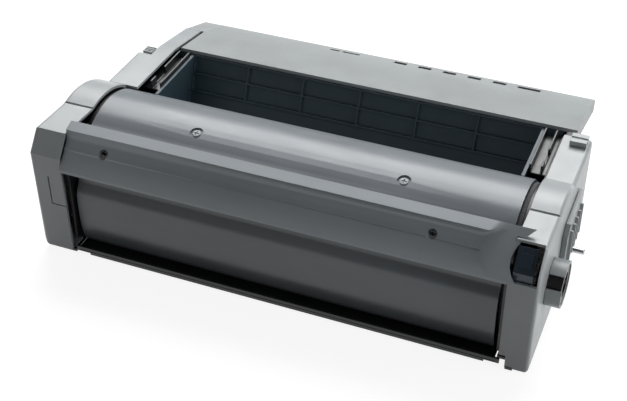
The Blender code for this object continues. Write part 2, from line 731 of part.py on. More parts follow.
def screws(b, prefix, spots, y, z, tilt, material):
    """Screws of one kind; spots gives each one's side and x, and (y, z) is the seat."""
    for side, x in spots:
        piece = turned(prefix + "_" + side, screw_profile(SCREW_LENGTH), 12)
        b.place(piece, x, y, z, (tilt, 0.0, 0.0), material)


def hopper_screws(b):
    seat = BARREL_RADIUS - SCREW_RECESS_DEPTH + GAP
    y, z = radial_place(COVER_SCREW_ANGLE, seat)
    spots = (("left", -COVER_SCREW_SPACING / 2), ("right", COVER_SCREW_SPACING / 2))
    screws(b, "hopper_cover_screw", spots, y, z, math.radians(COVER_SCREW_ANGLE - 90), "cover_grey")


def tub_path():
    front_y, front_z = polar(BARREL, BARREL_RADIUS, BARREL_FRONT_ANGLE)
    lip_y = DEVELOPER[0] + TUB_LIP_REACH
    return [(front_y, front_z - GAP - 0.4), (front_y + 0.6, TUB_BOTTOM + TUB_FRONT_CORNER),
            (front_y + 3.0, TUB_BOTTOM + 1.5), (front_y + TUB_FRONT_CORNER, TUB_BOTTOM),
            (lip_y - 3.0, TUB_BOTTOM), (lip_y, TUB_BOTTOM + 0.8)]


def hopper_tub(b):
    """Black tub under the barrel, from the front edge of the hopper cover to the lip below the developer roller."""
    piece = bent_sheet("hopper_tub", tub_path(), BARREL_LEFT, BARREL_RIGHT, TUB_WALL, outer_on_left=False)
    b.place(piece, rotation=ACROSS, material="frame_black")


def developer_cap_path():
    """Wall from the back edge of the hopper cover down to the metering blade."""
    start = polar(BARREL, BARREL_RADIUS - 0.2, BARREL_BACK_ANGLE - 1.6)
    low = polar(DRUM, DRUM_RADIUS + 5.4, 96.5)
    root = polar(DEVELOPER, DEVELOPER_RADIUS + 12.0, 56.0)
    return [start, (start[0] - 0.9, start[1] - 3.6), low, root]


def developer_cap(b):
    piece = bent_sheet("developer_cap", developer_cap_path(), BARREL_LEFT, BARREL_RIGHT, CAP_WALL)
    b.place(piece, rotation=ACROSS, material="frame_black")


def metering_blade(b):
    """Spring steel strip from under the cap to the top of the developer roller."""
    tip = polar(DEVELOPER, DEVELOPER_RADIUS + GAP + METERING_BLADE_THICKNESS, METERING_CONTACT_ANGLE)
    cap_end = developer_cap_path()[-1]
    root = (cap_end[0] + 2.4, cap_end[1] - CAP_WALL / 2 - METERING_BLADE_THICKNESS - 0.6)
    piece = bent_sheet("metering_blade", [tip, root], BARREL_LEFT + ROLLER_END_INSET, BARREL_RIGHT - ROLLER_END_INSET,
                       METERING_BLADE_THICKNESS)
    b.place(piece, rotation=ACROSS, material="steel")


def hopper_end_outline():
    """Side view of the hopper's end: the barrel's arc closed along the tub."""
    top = arc(BARREL, BARREL_RADIUS - FRAME_STEP, BARREL_BACK_ANGLE, BARREL_FRONT_ANGLE, 14)
    back = (DEVELOPER[0] + TUB_LIP_REACH, TUB_BOTTOM + TUB_WALL)
    return top + [(top[-1][0] + 5.0, TUB_BOTTOM + 1.0), back, (back[0] + 4.0, DEVELOPER[1] + 13.0)]


def hopper_end_seals(b):
    """Foam plates that close the hopper against the side frames, with holes for its shafts."""
    holes = [circle(UPPER_AGITATOR, AGITATOR_SHAFT_RADIUS + 2 * SHAFT_PLAY, 16),
             circle(LOWER_AGITATOR, AGITATOR_SHAFT_RADIUS + 2 * SHAFT_PLAY, 16),
             circle(SUPPLY, ROLLER_SHAFT_RADIUS + 2 * SHAFT_PLAY, 16),
             circle(DEVELOPER, ROLLER_SHAFT_RADIUS + 2 * SHAFT_PLAY, 16)]
    plug = circle(PLUG, PLUG_RADIUS + 2 * SHAFT_PLAY, 20)
    sides = (("hopper_seal_left", LEFT_FRAME_INNER, BARREL_LEFT, [plug]),
             ("hopper_seal_right", BARREL_RIGHT, RIGHT_FRAME_INNER, []))
    for name, start, end, extra in sides:
        thickness = end - start - 2 * GAP
        piece = plate(name, [hopper_end_outline()] + holes + extra, thickness)
        b.place(piece, (start + end) / 2, rotation=ACROSS, material="foam_grey")


def toner_plug(b):
    """Cap in the left side frame that closes the filling hole."""
    length = FRAME_THICKNESS + 2.4
    profile = [(0.0, length), (PLUG_RADIUS - 1.0, length), (PLUG_RADIUS, length - 1.0), (PLUG_RADIUS, 0.0),
               (PLUG_RADIUS + 1.8, 0.0), (PLUG_RADIUS + 1.8, -1.4), (PLUG_RADIUS - 2.0, -1.4),
               (PLUG_RADIUS - 2.6, -0.4), (0.0, -0.4)]
    piece = turned("toner_plug", profile)
    b.place(piece, LEFT_FRAME_OUTER - GAP, PLUG[0], PLUG[1], ACROSS, "gear_white")


# Side frames


def rear_top(drop):
    """Points under the rear cover, front to back, lowered by drop."""
    return [(REAR_COVER_FRONT, REAR_COVER_FRONT_HEIGHT - drop), (REAR_COVER_BEND, REAR_COVER_BEND_HEIGHT - drop),
            (FRAME_BACK, REAR_COVER_BACK_HEIGHT - drop + 1.5)]


def frame_outline():
    """Side view of a side frame: front edge, crossbar ear, arc below the barrel's surface, back, and two feet."""
    ear_top = CROSSBAR_TOP - 2.0
    rail_top = FRAME_BOTTOM - RAIL_DROP + RAIL_HEIGHT + GAP
    ear = [(RAIL_DEPTH + GAP, FRAME_BOTTOM), (RAIL_DEPTH + GAP, rail_top), (FRAME_FRONT, rail_top), (FRAME_FRONT, 60.0), (CROSSBAR_FRONT - 0.8, CROSSBAR_TOP - CROSSBAR_HEIGHT),
           (CROSSBAR_FRONT - 0.4, ear_top), (CROSSBAR_FRONT + CROSSBAR_DEPTH, ear_top)]
    hump = arc(BARREL, BARREL_RADIUS - FRAME_STEP, 131.0, 46.0, 12)
    level = (hump[-1][0] + 4.0, REAR_COVER_FRONT_HEIGHT - FRAME_TOP_DROP)
    back = [(FRAME_BACK, FRAME_BOTTOM)]
    feet = []
    for place in (REAR_FOOT_PLACE, FRONT_FOOT_PLACE):
        feet += [(place + FOOT_LENGTH, FRAME_BOTTOM), (place + FOOT_LENGTH - 1.0, FOOT_BOTTOM),
                 (place + 1.0, FOOT_BOTTOM), (place, FRAME_BOTTOM)]
    return ear + hump + [level] + rear_top(FRAME_TOP_DROP) + back + feet


def side_frames(b):
    shared = [circle(UPPER_AGITATOR, AGITATOR_SHAFT_RADIUS + SHAFT_PLAY, 16),
              circle(LOWER_AGITATOR, AGITATOR_SHAFT_RADIUS + SHAFT_PLAY, 16),
              circle(SUPPLY, ROLLER_SHAFT_RADIUS + SHAFT_PLAY, 16),
              circle(DEVELOPER, ROLLER_SHAFT_RADIUS + SHAFT_PLAY, 16),
              circle(AUGER, AUGER_SHAFT_RADIUS + SHAFT_PLAY, 12)]
    left = [circle(DRUM, FLANGE_HUB_RADIUS + SHAFT_PLAY, 20), circle(PLUG, PLUG_RADIUS + SHAFT_PLAY, 20)]
    right = [circle(DRUM, GEAR_HUB_RADIUS + SHAFT_PLAY, 20),
             circle(COUPLING, COUPLING_SHAFT_RADIUS + SHAFT_PLAY, 16)]
    for name, x, extra in (("left_side_frame", LEFT_FRAME_OUTER + FRAME_THICKNESS / 2, left),
                           ("right_side_frame", RIGHT_FRAME_OUTER - FRAME_THICKNESS / 2, right)):
        piece = plate(name, [frame_outline()] + shared + extra, FRAME_THICKNESS)
        b.place(piece, x, rotation=ACROSS, material="frame_black")


# Front grip, crossbar and bottom rail


def grip_section():
    """Channel section of the grip, top lip to bottom lip, as (y, z) points on its front side."""
    rise = GRIP_TOP_Z - GRIP_BOTTOM_Z
    run = GRIP_TOP_Y - GRIP_BOTTOM_Y
    return [(GRIP_TOP_Y, GRIP_TOP_Z), (GRIP_TOP_Y - 0.19 * run, GRIP_TOP_Z - 0.105 * rise),
            (GRIP_TOP_Y - 0.33 * run, GRIP_TOP_Z - 0.21 * rise), (GRIP_TOP_Y - 0.385 * run, GRIP_TOP_Z - 0.31 * rise),
            (GRIP_TOP_Y - 0.42 * run, GRIP_TOP_Z - 0.415 * rise), (GRIP_TOP_Y - 0.52 * run, GRIP_TOP_Z - 0.535 * rise),
            (GRIP_TOP_Y - 0.68 * run, GRIP_TOP_Z - 0.665 * rise), (GRIP_TOP_Y - 0.84 * run, GRIP_TOP_Z - 0.77 * rise),
            (GRIP_TOP_Y - 0.98 * run, GRIP_TOP_Z - 0.865 * rise),
            (GRIP_BOTTOM_Y, GRIP_BOTTOM_Z + GRIP_LIP_HEIGHT - 0.6), (GRIP_BOTTOM_Y, GRIP_BOTTOM_Z)]


def front_grip(b):
    """Hollow strip whose valley runs out in a ramp at the right, with a horn over the right end cover."""
    channel = grip_section()
    lip = len(channel) - 2
    top = Vector(channel[0])
    foot = Vector(channel[lip])
    data = bmesh.new()
    columns = []
    fractions = (0.0, 0.33, 0.67, 1.0)
    for index, (y, z) in enumerate(channel):
        share = min(index / lip, 1.0)
        chord = top.lerp(foot, share) if index <= lip else Vector((y, z))
        bow = math.sin(math.pi * share)
        ramp_start = RIGHT_COVER_INNER - GRIP_RAMP_LENGTH * (0.45 + 0.55 * bow)
        horn = GRIP_HORN * max(0.0, 1.0 - share / 0.26)
        ramp_end = RIGHT_COVER_INNER - GAP + horn
        row = [(LEFT_COVER_INNER + GAP, y, z)]
        for t in fractions:
            point = Vector((y, z)).lerp(chord, t)
            row.append((ramp_start + (ramp_end - ramp_start) * t, point.x, point.y))
        columns.append([data.verts.new((py * MM, pz * MM, px * MM)) for px, py, pz in row])
    for upper, lower in zip(columns, columns[1:]):
        for i in range(len(upper) - 1):
            data.faces.new((upper[i], lower[i], lower[i + 1], upper[i + 1]))
    piece = mesh_object("front_grip", data)
    wall = piece.modifiers.new("wall", "SOLIDIFY")
    wall.thickness = GRIP_WALL * MM
    wall.offset = -1.0
    wall.use_even_offset = True
    b.place(piece, rotation=ACROSS, material="cover_grey")
    over_cover = [(-6.0, COVER_CHAMFER_BOTTOM - 8.0), (-1.2 - GAP, COVER_CHAMFER_BOTTOM),
                  (COVER_CHAMFER_DEPTH - GAP, COVER_TOP_FRONT + GAP), (HUMP_START, COVER_TOP_FRONT + GAP),
                  (HUMP_START, COVER_CHAMFER_BOTTOM - 8.0)]
    clearance = b.cutter(plate("grip_clearance", [over_cover], 2 * GRIP_HORN), RIGHT_COVER_INNER - GAP + GRIP_HORN,
                         rotation=ACROSS)
    b.boolean(piece, clearance, "DIFFERENCE")
    lay_flat = (math.pi / 2, 0.0, 0.0)
    for x in (GRIP_SCREW_LEFT, GRIP_SCREW_RIGHT):
        dimple = b.cutter(cylinder("grip_dimple", GRIP_SCREW_HOLE / 2, 10.0, 16), x, GRIP_SCREW_SEAT - 5.0,
                          GRIP_SCREW_HEIGHT, lay_flat)
        b.boolean(piece, dimple, "DIFFERENCE")
        hole = b.cutter(cylinder("grip_screw_hole", SCREW_SHANK_DIAMETER / 2 + GAP, 20.0, 12), x, GRIP_SCREW_SEAT,
                        GRIP_SCREW_HEIGHT, lay_flat)
        b.boolean(piece, hole, "DIFFERENCE")


def grip_screws(b):
    spots = (("left", GRIP_SCREW_LEFT), ("right", GRIP_SCREW_RIGHT))
    screws(b, "grip_screw", spots, GRIP_SCREW_SEAT - GAP, GRIP_SCREW_HEIGHT, math.radians(90), "steel")


def front_crossbar(b):
    """Black channel between the side frames that the grip is screwed to."""
    back = CROSSBAR_FRONT + CROSSBAR_DEPTH
    foot = CROSSBAR_TOP - CROSSBAR_HEIGHT
    path = [(back, foot), (CROSSBAR_FRONT, foot), (CROSSBAR_FRONT, CROSSBAR_TOP), (back, CROSSBAR_TOP)]
    piece = bent_sheet("front_crossbar", path, INNER_LEFT, INNER_RIGHT, CROSSBAR_WALL)
    b.place(piece, rotation=ACROSS, material="frame_black")
    for x in (GRIP_SCREW_LEFT, GRIP_SCREW_RIGHT):
        hole = b.cutter(cylinder("crossbar_hole", SCREW_SHANK_DIAMETER / 2 + GAP, 6 * CROSSBAR_WALL, 12), x,
                        CROSSBAR_FRONT, GRIP_SCREW_HEIGHT, (math.pi / 2, 0.0, 0.0))
        b.boolean(piece, hole, "DIFFERENCE")


def front_rail(b):
    foot = FRAME_BOTTOM - RAIL_DROP
    top = foot + RAIL_HEIGHT
    path = [(RAIL_DEPTH, foot), (1.6, foot), (0.0, foot + 1.6), (0.0, top - 1.2), (1.2, top), (RAIL_DEPTH, top)]
    piece = bent_sheet("front_rail", path, RAIL_LEFT, RAIL_RIGHT, RAIL_WALL)
    b.place(piece, rotation=ACROSS, material="cover_grey")


# Top opening


def guide_rails(b):
    """U-shaped rails at both ends of the top opening, each with a foot out to its side frame."""
    sides = (("left_guide_rail", OPENING_LEFT, -1, INNER_LEFT), ("right_guide_rail", OPENING_RIGHT, 1, INNER_RIGHT))
    for name, inner, side, frame_x in sides:
        near = inner + side * (HOUSING_WALL * 0.0 + GAP)
        far = near + side * GUIDE_WIDTH
        floor = GUIDE_FLOOR + GUIDE_WALL
        outline = [(near, GUIDE_TOP), (near, GUIDE_FLOOR), (frame_x, GUIDE_FLOOR), (frame_x, floor), (far, floor),
                   (far, GUIDE_TOP), (far - side * GUIDE_WALL, GUIDE_TOP), (far - side * GUIDE_WALL, floor),
                   (near + side * GUIDE_WALL, floor), (near + side * GUIDE_WALL, GUIDE_TOP)]
        back = RIBBED_TOP_Y - (RIBBED_TOP_Z - GUIDE_FLOOR) * RIBBED_LEAN - RIB_DEPTH - GAP
        piece = plate(name, [outline], back - GUIDE_FRONT)
        b.place(piece, y=(back + GUIDE_FRONT) / 2, rotation=(math.pi / 2, 0.0, 0.0), material="cover_grey")
        barrel = b.cutter(cylinder(name + "_barrel", BARREL_RADIUS + 2 * GAP, 60.0, 64), (near + frame_x) / 2,
                          BARREL_Y, BARREL_Z, ACROSS)
        b.boolean(piece, barrel, "DIFFERENCE")
        split = b.cutter(box(name + "_split", (2.4 * GUIDE_WALL, GUIDE_SPLIT_LENGTH, 2 * (GUIDE_TOP - floor) - 2.0)),
                         far, GUIDE_SPLIT + GUIDE_SPLIT_LENGTH / 2, GUIDE_TOP)
        b.boolean(piece, split, "DIFFERENCE")


def front_wall_path():
    """Front wall of the waste housing, top to bottom: ribbed slope, shelf over the charge roller, blade seat."""
    shelf = polar(DRUM, 35.2, 34.6)
    return [(RIBBED_TOP_Y, RIBBED_TOP_Z), (RIBBED_BOTTOM_Y, RIBBED_BOTTOM_Z), shelf,
            (BLADE_SEAT_Y, shelf[1] - 3.0), (BLADE_SEAT_Y, BLADE_SEAT_FOOT)]


def waste_housing(b):
    """Dark housing behind the opening: ribbed front wall, floor, back, end walls and the opening's two cheeks."""
    front = front_wall_path()
    left = INNER_LEFT
    right = INNER_RIGHT
    piece = bent_sheet("waste_housing", front, left, right, HOUSING_WALL, outer_on_left=False)
    b.place(piece, rotation=ACROSS, material="waste_blue_black")
    lip_y = DRUM_Y + DRUM_RADIUS + 1.2
    floor = [(lip_y, HOUSING_BOTTOM), (HOUSING_BACK - 3.0, HOUSING_BOTTOM), (HOUSING_BACK, HOUSING_BOTTOM + 3.0),
             (HOUSING_BACK, REAR_COVER_BACK_HEIGHT - REAR_COVER_SKIRT - 1.0)]
    tray = b.cutter(bent_sheet("waste_floor", floor, left, right, HOUSING_WALL, outer_on_left=False),
                    rotation=ACROSS)
    b.boolean(piece, tray, "UNION")
    top = [(y, z - REAR_COVER_WALL - GAP - 0.6) for y, z in
           ((HOUSING_BACK, REAR_COVER_BACK_HEIGHT), (REAR_COVER_BEND, REAR_COVER_BEND_HEIGHT),
            (REAR_COVER_FRONT + 3.0, REAR_COVER_FRONT_HEIGHT))]
    end_wall = front[:4] + [(BLADE_SEAT_Y, BLADE_SEAT_FOOT), (lip_y + 2.0, HOUSING_BOTTOM + HOUSING_WALL),
                            (lip_y, HOUSING_BOTTOM), (HOUSING_BACK - 3.0, HOUSING_BOTTOM),
                            (HOUSING_BACK, HOUSING_BOTTOM + 3.0)] + top
    hole = circle(AUGER, AUGER_SHAFT_RADIUS + SHAFT_PLAY, 12)
    for side, x in (("left", left + HOUSING_WALL / 2), ("right", right - HOUSING_WALL / 2)):
        wall = b.cutter(plate("waste_end_" + side, [end_wall, hole], HOUSING_WALL), x, rotation=ACROSS)
        b.boolean(piece, wall, "UNION")
    cheek_front = arc(BARREL, BARREL_RADIUS + 2 * GAP, 50.0, BARREL_BACK_ANGLE - 2.0, 8)
    under = [(cheek_front[-1][0] + 1.6, front[2][1] + 0.8), (cheek_front[-1][0] + 4.6, front[2][1] - 1.0),
             (front[2][0] + 0.5, front[2][1] - 0.5)]
    cheek = [(RIBBED_TOP_Y + 0.6, RIBBED_TOP_Z)] + [(cheek_front[0][0], RIBBED_TOP_Z)] + cheek_front + under
    cheek += [(RIBBED_BOTTOM_Y + 0.6, RIBBED_BOTTOM_Z)]
    for side, x in (("left", OPENING_LEFT + HOUSING_WALL / 2), ("right", OPENING_RIGHT - HOUSING_WALL / 2)):
        wall = b.cutter(plate("opening_cheek_" + side, [cheek], HOUSING_WALL), x, rotation=ACROSS)
        b.boolean(piece, wall, "UNION")
    lattice = b.cutter(rib_lattice(), *lattice_place())
    b.boolean(piece, lattice, "UNION")


def lattice_place():
    """Middle of the ribbed slope, half a rib in front of the wall, and the slope's turn."""
    slope = math.atan2(RIBBED_TOP_Z - RIBBED_BOTTOM_Z, RIBBED_TOP_Y - RIBBED_BOTTOM_Y)
    out = RIB_DEPTH / 2 - 0.5
    y = (RIBBED_TOP_Y + RIBBED_BOTTOM_Y) / 2 - out * math.sin(slope)
    z = (RIBBED_TOP_Z + RIBBED_BOTTOM_Z) / 2 + out * math.cos(slope)
    return (OPENING_LEFT + OPENING_RIGHT) / 2, y, z, (slope, 0.0, 0.0)


def rib_lattice():
    """Ribs of the opening's back wall as one lattice with a window for each bay."""
    width = OPENING_RIGHT - OPENING_LEFT - HOUSING_WALL
    height = math.hypot(RIBBED_TOP_Z - RIBBED_BOTTOM_Z, RIBBED_TOP_Y - RIBBED_BOTTOM_Y) - 1.0
    border = RIB_THICKNESS + HOUSING_WALL / 2
    outline = [(-width / 2, -height / 2), (width / 2, -height / 2), (width / 2, height / 2), (-width / 2, height / 2)]
    bay_width = (width - 2 * border + RIB_THICKNESS) / RIB_COLUMNS
    bay_height = (height - RIB_THICKNESS) / RIB_ROWS
    windows = []
    for column in range(RIB_COLUMNS):
        for row in range(RIB_ROWS):
            u = -width / 2 + border + column * bay_width
            v = -height / 2 + RIB_THICKNESS + row * bay_height
            u_end = u + bay_width - RIB_THICKNESS
            v_end = v + bay_height - RIB_THICKNESS
            windows.append([(u, v), (u_end, v), (u_end, v_end), (u, v_end)])
    return plate("rib_lattice", [outline] + windows, RIB_DEPTH + 1.0)


def rear_cover(b):
    """Lid of the waste housing, with a sloped back and a row of slots."""
    left = -LEFT_SIDE_INNER_EDGE + 2.4
    path = [(REAR_COVER_FRONT, REAR_COVER_FRONT_HEIGHT - 2.6), (REAR_COVER_FRONT, REAR_COVER_FRONT_HEIGHT),
            (REAR_COVER_BEND, REAR_COVER_BEND_HEIGHT), (REAR_COVER_BACK, REAR_COVER_BACK_HEIGHT),
            (REAR_COVER_BACK, REAR_COVER_BACK_HEIGHT - REAR_COVER_SKIRT)]
    piece = bent_sheet("rear_cover", path, left, REAR_COVER_RIGHT, REAR_COVER_WALL)
    b.place(piece, rotation=ACROSS, material="cover_grey")
    wing_path = [(REAR_COVER_BEND + GAP + 0.2, REAR_COVER_BEND_HEIGHT - 0.2),
                 (REAR_COVER_BACK - 0.1, REAR_COVER_BACK_HEIGHT - 0.1),
                 (REAR_COVER_BACK - 0.1, REAR_COVER_BACK_HEIGHT - REAR_COVER_SKIRT + 0.1)]
    wing = b.cutter(bent_sheet("rear_cover_wing", wing_path, LEFT_X + LEFT_SIDE_STEP, left + 1.0, REAR_COVER_WALL),
                    rotation=ACROSS)
    b.boolean(piece, wing, "UNION")
    skirt = [(REAR_COVER_FRONT + 0.1, REAR_COVER_FRONT_HEIGHT - 0.1), (REAR_COVER_BEND, REAR_COVER_BEND_HEIGHT - 0.1),
             (REAR_COVER_BACK - 0.1, REAR_COVER_BACK_HEIGHT - 0.1),
             (REAR_COVER_BACK - 0.1, REAR_COVER_BACK_HEIGHT - REAR_COVER_SKIRT + 0.1),
             (REAR_COVER_FRONT + 0.1, REAR_COVER_FRONT_HEIGHT - REAR_COVER_SKIRT)]
    side = b.cutter(plate("rear_cover_side", [skirt], REAR_COVER_WALL), REAR_COVER_RIGHT - REAR_COVER_WALL / 2,
                    rotation=ACROSS)
    b.boolean(piece, side, "UNION")
    fall = math.atan2(REAR_COVER_BACK_HEIGHT - REAR_COVER_BEND_HEIGHT, REAR_COVER_BACK - REAR_COVER_BEND)
    share = (SLOT_ROW_PLACE - REAR_COVER_BEND) / (REAR_COVER_BACK - REAR_COVER_BEND)
    row_z = REAR_COVER_BEND_HEIGHT + (REAR_COVER_BACK_HEIGHT - REAR_COVER_BEND_HEIGHT) * share
    loops = [stadium(SLOT_ROW_START + i * SLOT_PITCH, SLOT_LENGTH) for i in range(SLOT_COUNT)]
    loops.append(stadium(SLOT_ROW_START + SLOT_COUNT * SLOT_PITCH + 1.0, LONG_SLOT_LENGTH))
    loops.append(stadium(SLOT_ROW_START - 2 * SLOT_PITCH - 1.4, LONG_SLOT_LENGTH))
    loops.append(stadium(SLOT_ROW_START - 3 * SLOT_PITCH + 4.4, SLOT_LENGTH))
    slots = b.cutter(plate("rear_slots", loops, 4 * REAR_COVER_WALL), 0.0, SLOT_ROW_PLACE, row_z, (fall, 0.0, 0.0))
    b.boolean(piece, slots, "DIFFERENCE")


def stadium(centre, length):
    """Slot with round ends, along local X, centred at (centre, 0)."""
    reach = (length - SLOT_WIDTH) / 2
    right = arc((centre + reach, 0.0), SLOT_WIDTH / 2, -90.0, 90.0, 4)
    left = arc((centre - reach, 0.0), SLOT_WIDTH / 2, 90.0, 270.0, 4)
    return right + left


# Drum unit


def tube(name, radius, bore, length, steps=SEGMENTS):
    profile = [(radius, length / 2), (radius, -length / 2), (bore, -length / 2), (bore, length / 2)]
    return turned(name, profile, steps)


def shaft(b, name, radius, start, end, centre, steps=16):
    piece = cylinder(name, radius, end - start, steps)
    b.place(piece, (start + end) / 2, centre[0], centre[1], ACROSS, "steel")
    return piece


def drum(b):
    length = DRUM_RIGHT - DRUM_LEFT
    piece = tube("drum", DRUM_RADIUS, DRUM_RADIUS - DRUM_WALL, length, 40)
    b.place(piece, (DRUM_LEFT + DRUM_RIGHT) / 2, *DRUM, ACROSS, "drum_coat")
    plug = DRUM_RADIUS - DRUM_WALL - GAP
    rim = DRUM_RADIUS - 0.4
    bore = DRUM_SHAFT_RADIUS + SHAFT_PLAY
    inside = FLANGE_DEPTH
    left_end = LEFT_FRAME_OUTER - 0.2 - DRUM_LEFT
    profile = [(plug, inside), (plug, -GAP), (rim, -GAP), (rim, -GAP - 1.6), (FLANGE_HUB_RADIUS, -GAP - 1.6),
               (FLANGE_HUB_RADIUS, left_end), (bore, left_end), (bore, inside)]
    b.place(turned("drum_flange", profile, 24), DRUM_LEFT, *DRUM, ACROSS, "gear_white")
    hub_end = INNER_LAYER + GEAR_WIDTH + GAP - DRUM_RIGHT
    profile = [(bore, hub_end), (GEAR_HUB_RADIUS, hub_end), (GEAR_HUB_RADIUS, GAP + 1.6), (rim, GAP + 1.6), (rim, GAP),
               (plug, GAP), (plug, -inside), (bore, -inside)]
    hub = b.cutter(turned("drum_gear_hub", profile[1:] + profile[:1], 24), DRUM_RIGHT, *DRUM, ACROSS)
    # The gear's own hole is wider than the bore, so that the hub fills it.
    piece = gear(b, "drum_gear", DRUM_TEETH, DRUM, DRUM_SHAFT_RADIUS + 1.5, INNER_LAYER, GEAR_WIDTH,
                 GEAR_PHASES["drum"])
    b.boolean(piece, hub, "UNION")
    step = RIGHT_X - COVER_WALL - 1.0
    start = LEFT_FRAME_OUTER - 2.5
    profile = [(0.0, PIN_TIP_X), (DRUM_PIN_RADIUS - 0.4, PIN_TIP_X), (DRUM_PIN_RADIUS, PIN_TIP_X - 0.5),
               (DRUM_PIN_RADIUS, step), (DRUM_SHAFT_RADIUS, step), (DRUM_SHAFT_RADIUS, start), (0.0, start)]
    b.place(turned("drum_shaft", profile, 20), 0.0, *DRUM, ACROSS, "steel")


def roller(b, prefix, centre, radius, material, right_end, shaft_radius=ROLLER_SHAFT_RADIUS):
    """Sleeve on a steel shaft that runs in both side frames."""
    start = BARREL_LEFT + ROLLER_END_INSET
    end = BARREL_RIGHT - ROLLER_END_INSET
    sleeve = tube(prefix + "_roller", radius, shaft_radius + GAP, end - start, 28)
    b.place(sleeve, (start + end) / 2, *centre, ACROSS, material)
    shaft(b, prefix + "_shaft", shaft_radius, LEFT_FRAME_OUTER + 0.2, right_end, centre)


def charge_unit(b):
    """Charge roller above the back of the drum, in two sprung bearing blocks."""
    start = DRUM_LEFT + 2.0
    end = DRUM_RIGHT - 2.0
    sleeve = tube("charge_roller", CHARGE_RADIUS, CHARGE_SHAFT_RADIUS + GAP, end - start, 24)
    b.place(sleeve, (start + end) / 2, *CHARGE, ACROSS, "rubber_black")
    shaft(b, "charge_shaft", CHARGE_SHAFT_RADIUS, INNER_LEFT + 0.4, INNER_RIGHT - 0.4, CHARGE)
    half = CHARGE_BLOCK / 2
    square = [(-half, -half), (half, -half), (half, half), (-half, half)]
    hole = circle((0.0, 0.0), CHARGE_SHAFT_RADIUS + SHAFT_PLAY, 16)
    turn = math.radians(CHARGE_ANGLE)
    for side, x in (("left", INNER_LEFT + CHARGE_BLOCK_WIDTH / 2), ("right", INNER_RIGHT - CHARGE_BLOCK_WIDTH / 2)):
        rotated = [rotate_point(point, turn) for point in square]
        block = plate("charge_bearing_" + side, [rotated, hole], CHARGE_BLOCK_WIDTH)
        b.place(block, x, *CHARGE, ACROSS, "gear_white")
        seat = DRUM_RADIUS + CHARGE_RADIUS + 2 * GAP + half + SPRING_WIRE
        spring(b, "charge_spring_" + side, x, seat)


def rotate_point(point, turn):
    return (point[0] * math.cos(turn) - point[1] * math.sin(turn),
            point[0] * math.sin(turn) + point[1] * math.cos(turn))


def spring(b, name, x, seat):
    """Short coil spring behind a charge bearing, along the line from the drum."""
    curve = bpy.data.curves.new(name, "CURVE")
    curve.dimensions = "3D"
    curve.bevel_depth = SPRING_WIRE / 2 * MM
    curve.bevel_resolution = 0
    curve.use_fill_caps = True
    steps = int(SPRING_TURNS * 8)
    spline = curve.splines.new("POLY")
    spline.points.add(steps)
    for i, point in enumerate(spline.points):
        angle = 2 * math.pi * i / 8
        along = SPRING_LENGTH * i / steps
        point.co = (SPRING_RADIUS * math.cos(angle) * MM, SPRING_RADIUS * math.sin(angle) * MM, along * MM, 1.0)
    y, z = polar(DRUM, seat, CHARGE_ANGLE)
    piece = solid_from_curve(name, curve)
    # Local Z turns to the line from the drum: first down to +y, then up by the charge angle.
    b.place(piece, x, y, z, (math.radians(CHARGE_ANGLE) - math.pi / 2, 0.0, 0.0), "steel")


def cleaning_blade(b):
    """Rubber strip against the drum, under a steel bracket that is fixed to the waste housing's front wall."""
    turn = math.radians(BLADE_ANGLE)
    along = Vector((math.cos(turn), math.sin(turn)))
    normal = Vector((-along.y, along.x))
    start = BARREL_LEFT + ROLLER_END_INSET
    end = BARREL_RIGHT - ROLLER_END_INSET
    tip = Vector(polar(DRUM, DRUM_RADIUS + GAP + 0.4 * CLEANING_BLADE_THICKNESS, CLEANING_CONTACT_ANGLE))
    upper = tip + normal * CLEANING_BLADE_THICKNESS / 2
    path = [tuple(upper), tuple(upper + along * CLEANING_BLADE_LENGTH)]
    blade = bent_sheet("cleaning_blade", path, start, end, CLEANING_BLADE_THICKNESS)
    b.place(blade, rotation=ACROSS, material="blade_rubber")
    seat_y = BLADE_SEAT_Y - GAP
    low = upper + normal * GAP + along * (CLEANING_BLADE_LENGTH * 0.45)
    reach = (seat_y - low.x) / along.x
    knee = low + along * reach
    path = [tuple(low), tuple(knee), (knee.x, knee.y + BRACKET_LEG)]
    bracket = bent_sheet("blade_bracket", path, start, end, BRACKET_THICKNESS, outer_on_left=False)
    b.place(bracket, rotation=ACROSS, material="steel")


def recovery_seal(b):
    """Thin film on the housing's lip, under the drum."""
    floor = HOUSING_BOTTOM + HOUSING_WALL + GAP
    lip = DRUM_Y + DRUM_RADIUS + 1.2
    path = [(lip - 2.6, floor + 1.2), (lip + 0.8, floor), (lip + 6.0, floor)]
    piece = bent_sheet("recovery_seal", path, BARREL_LEFT + ROLLER_END_INSET, BARREL_RIGHT - ROLLER_END_INSET,
                       SEAL_SHEET_THICKNESS, outer_on_left=False)
    b.place(piece, rotation=ACROSS, material="rubber_black")


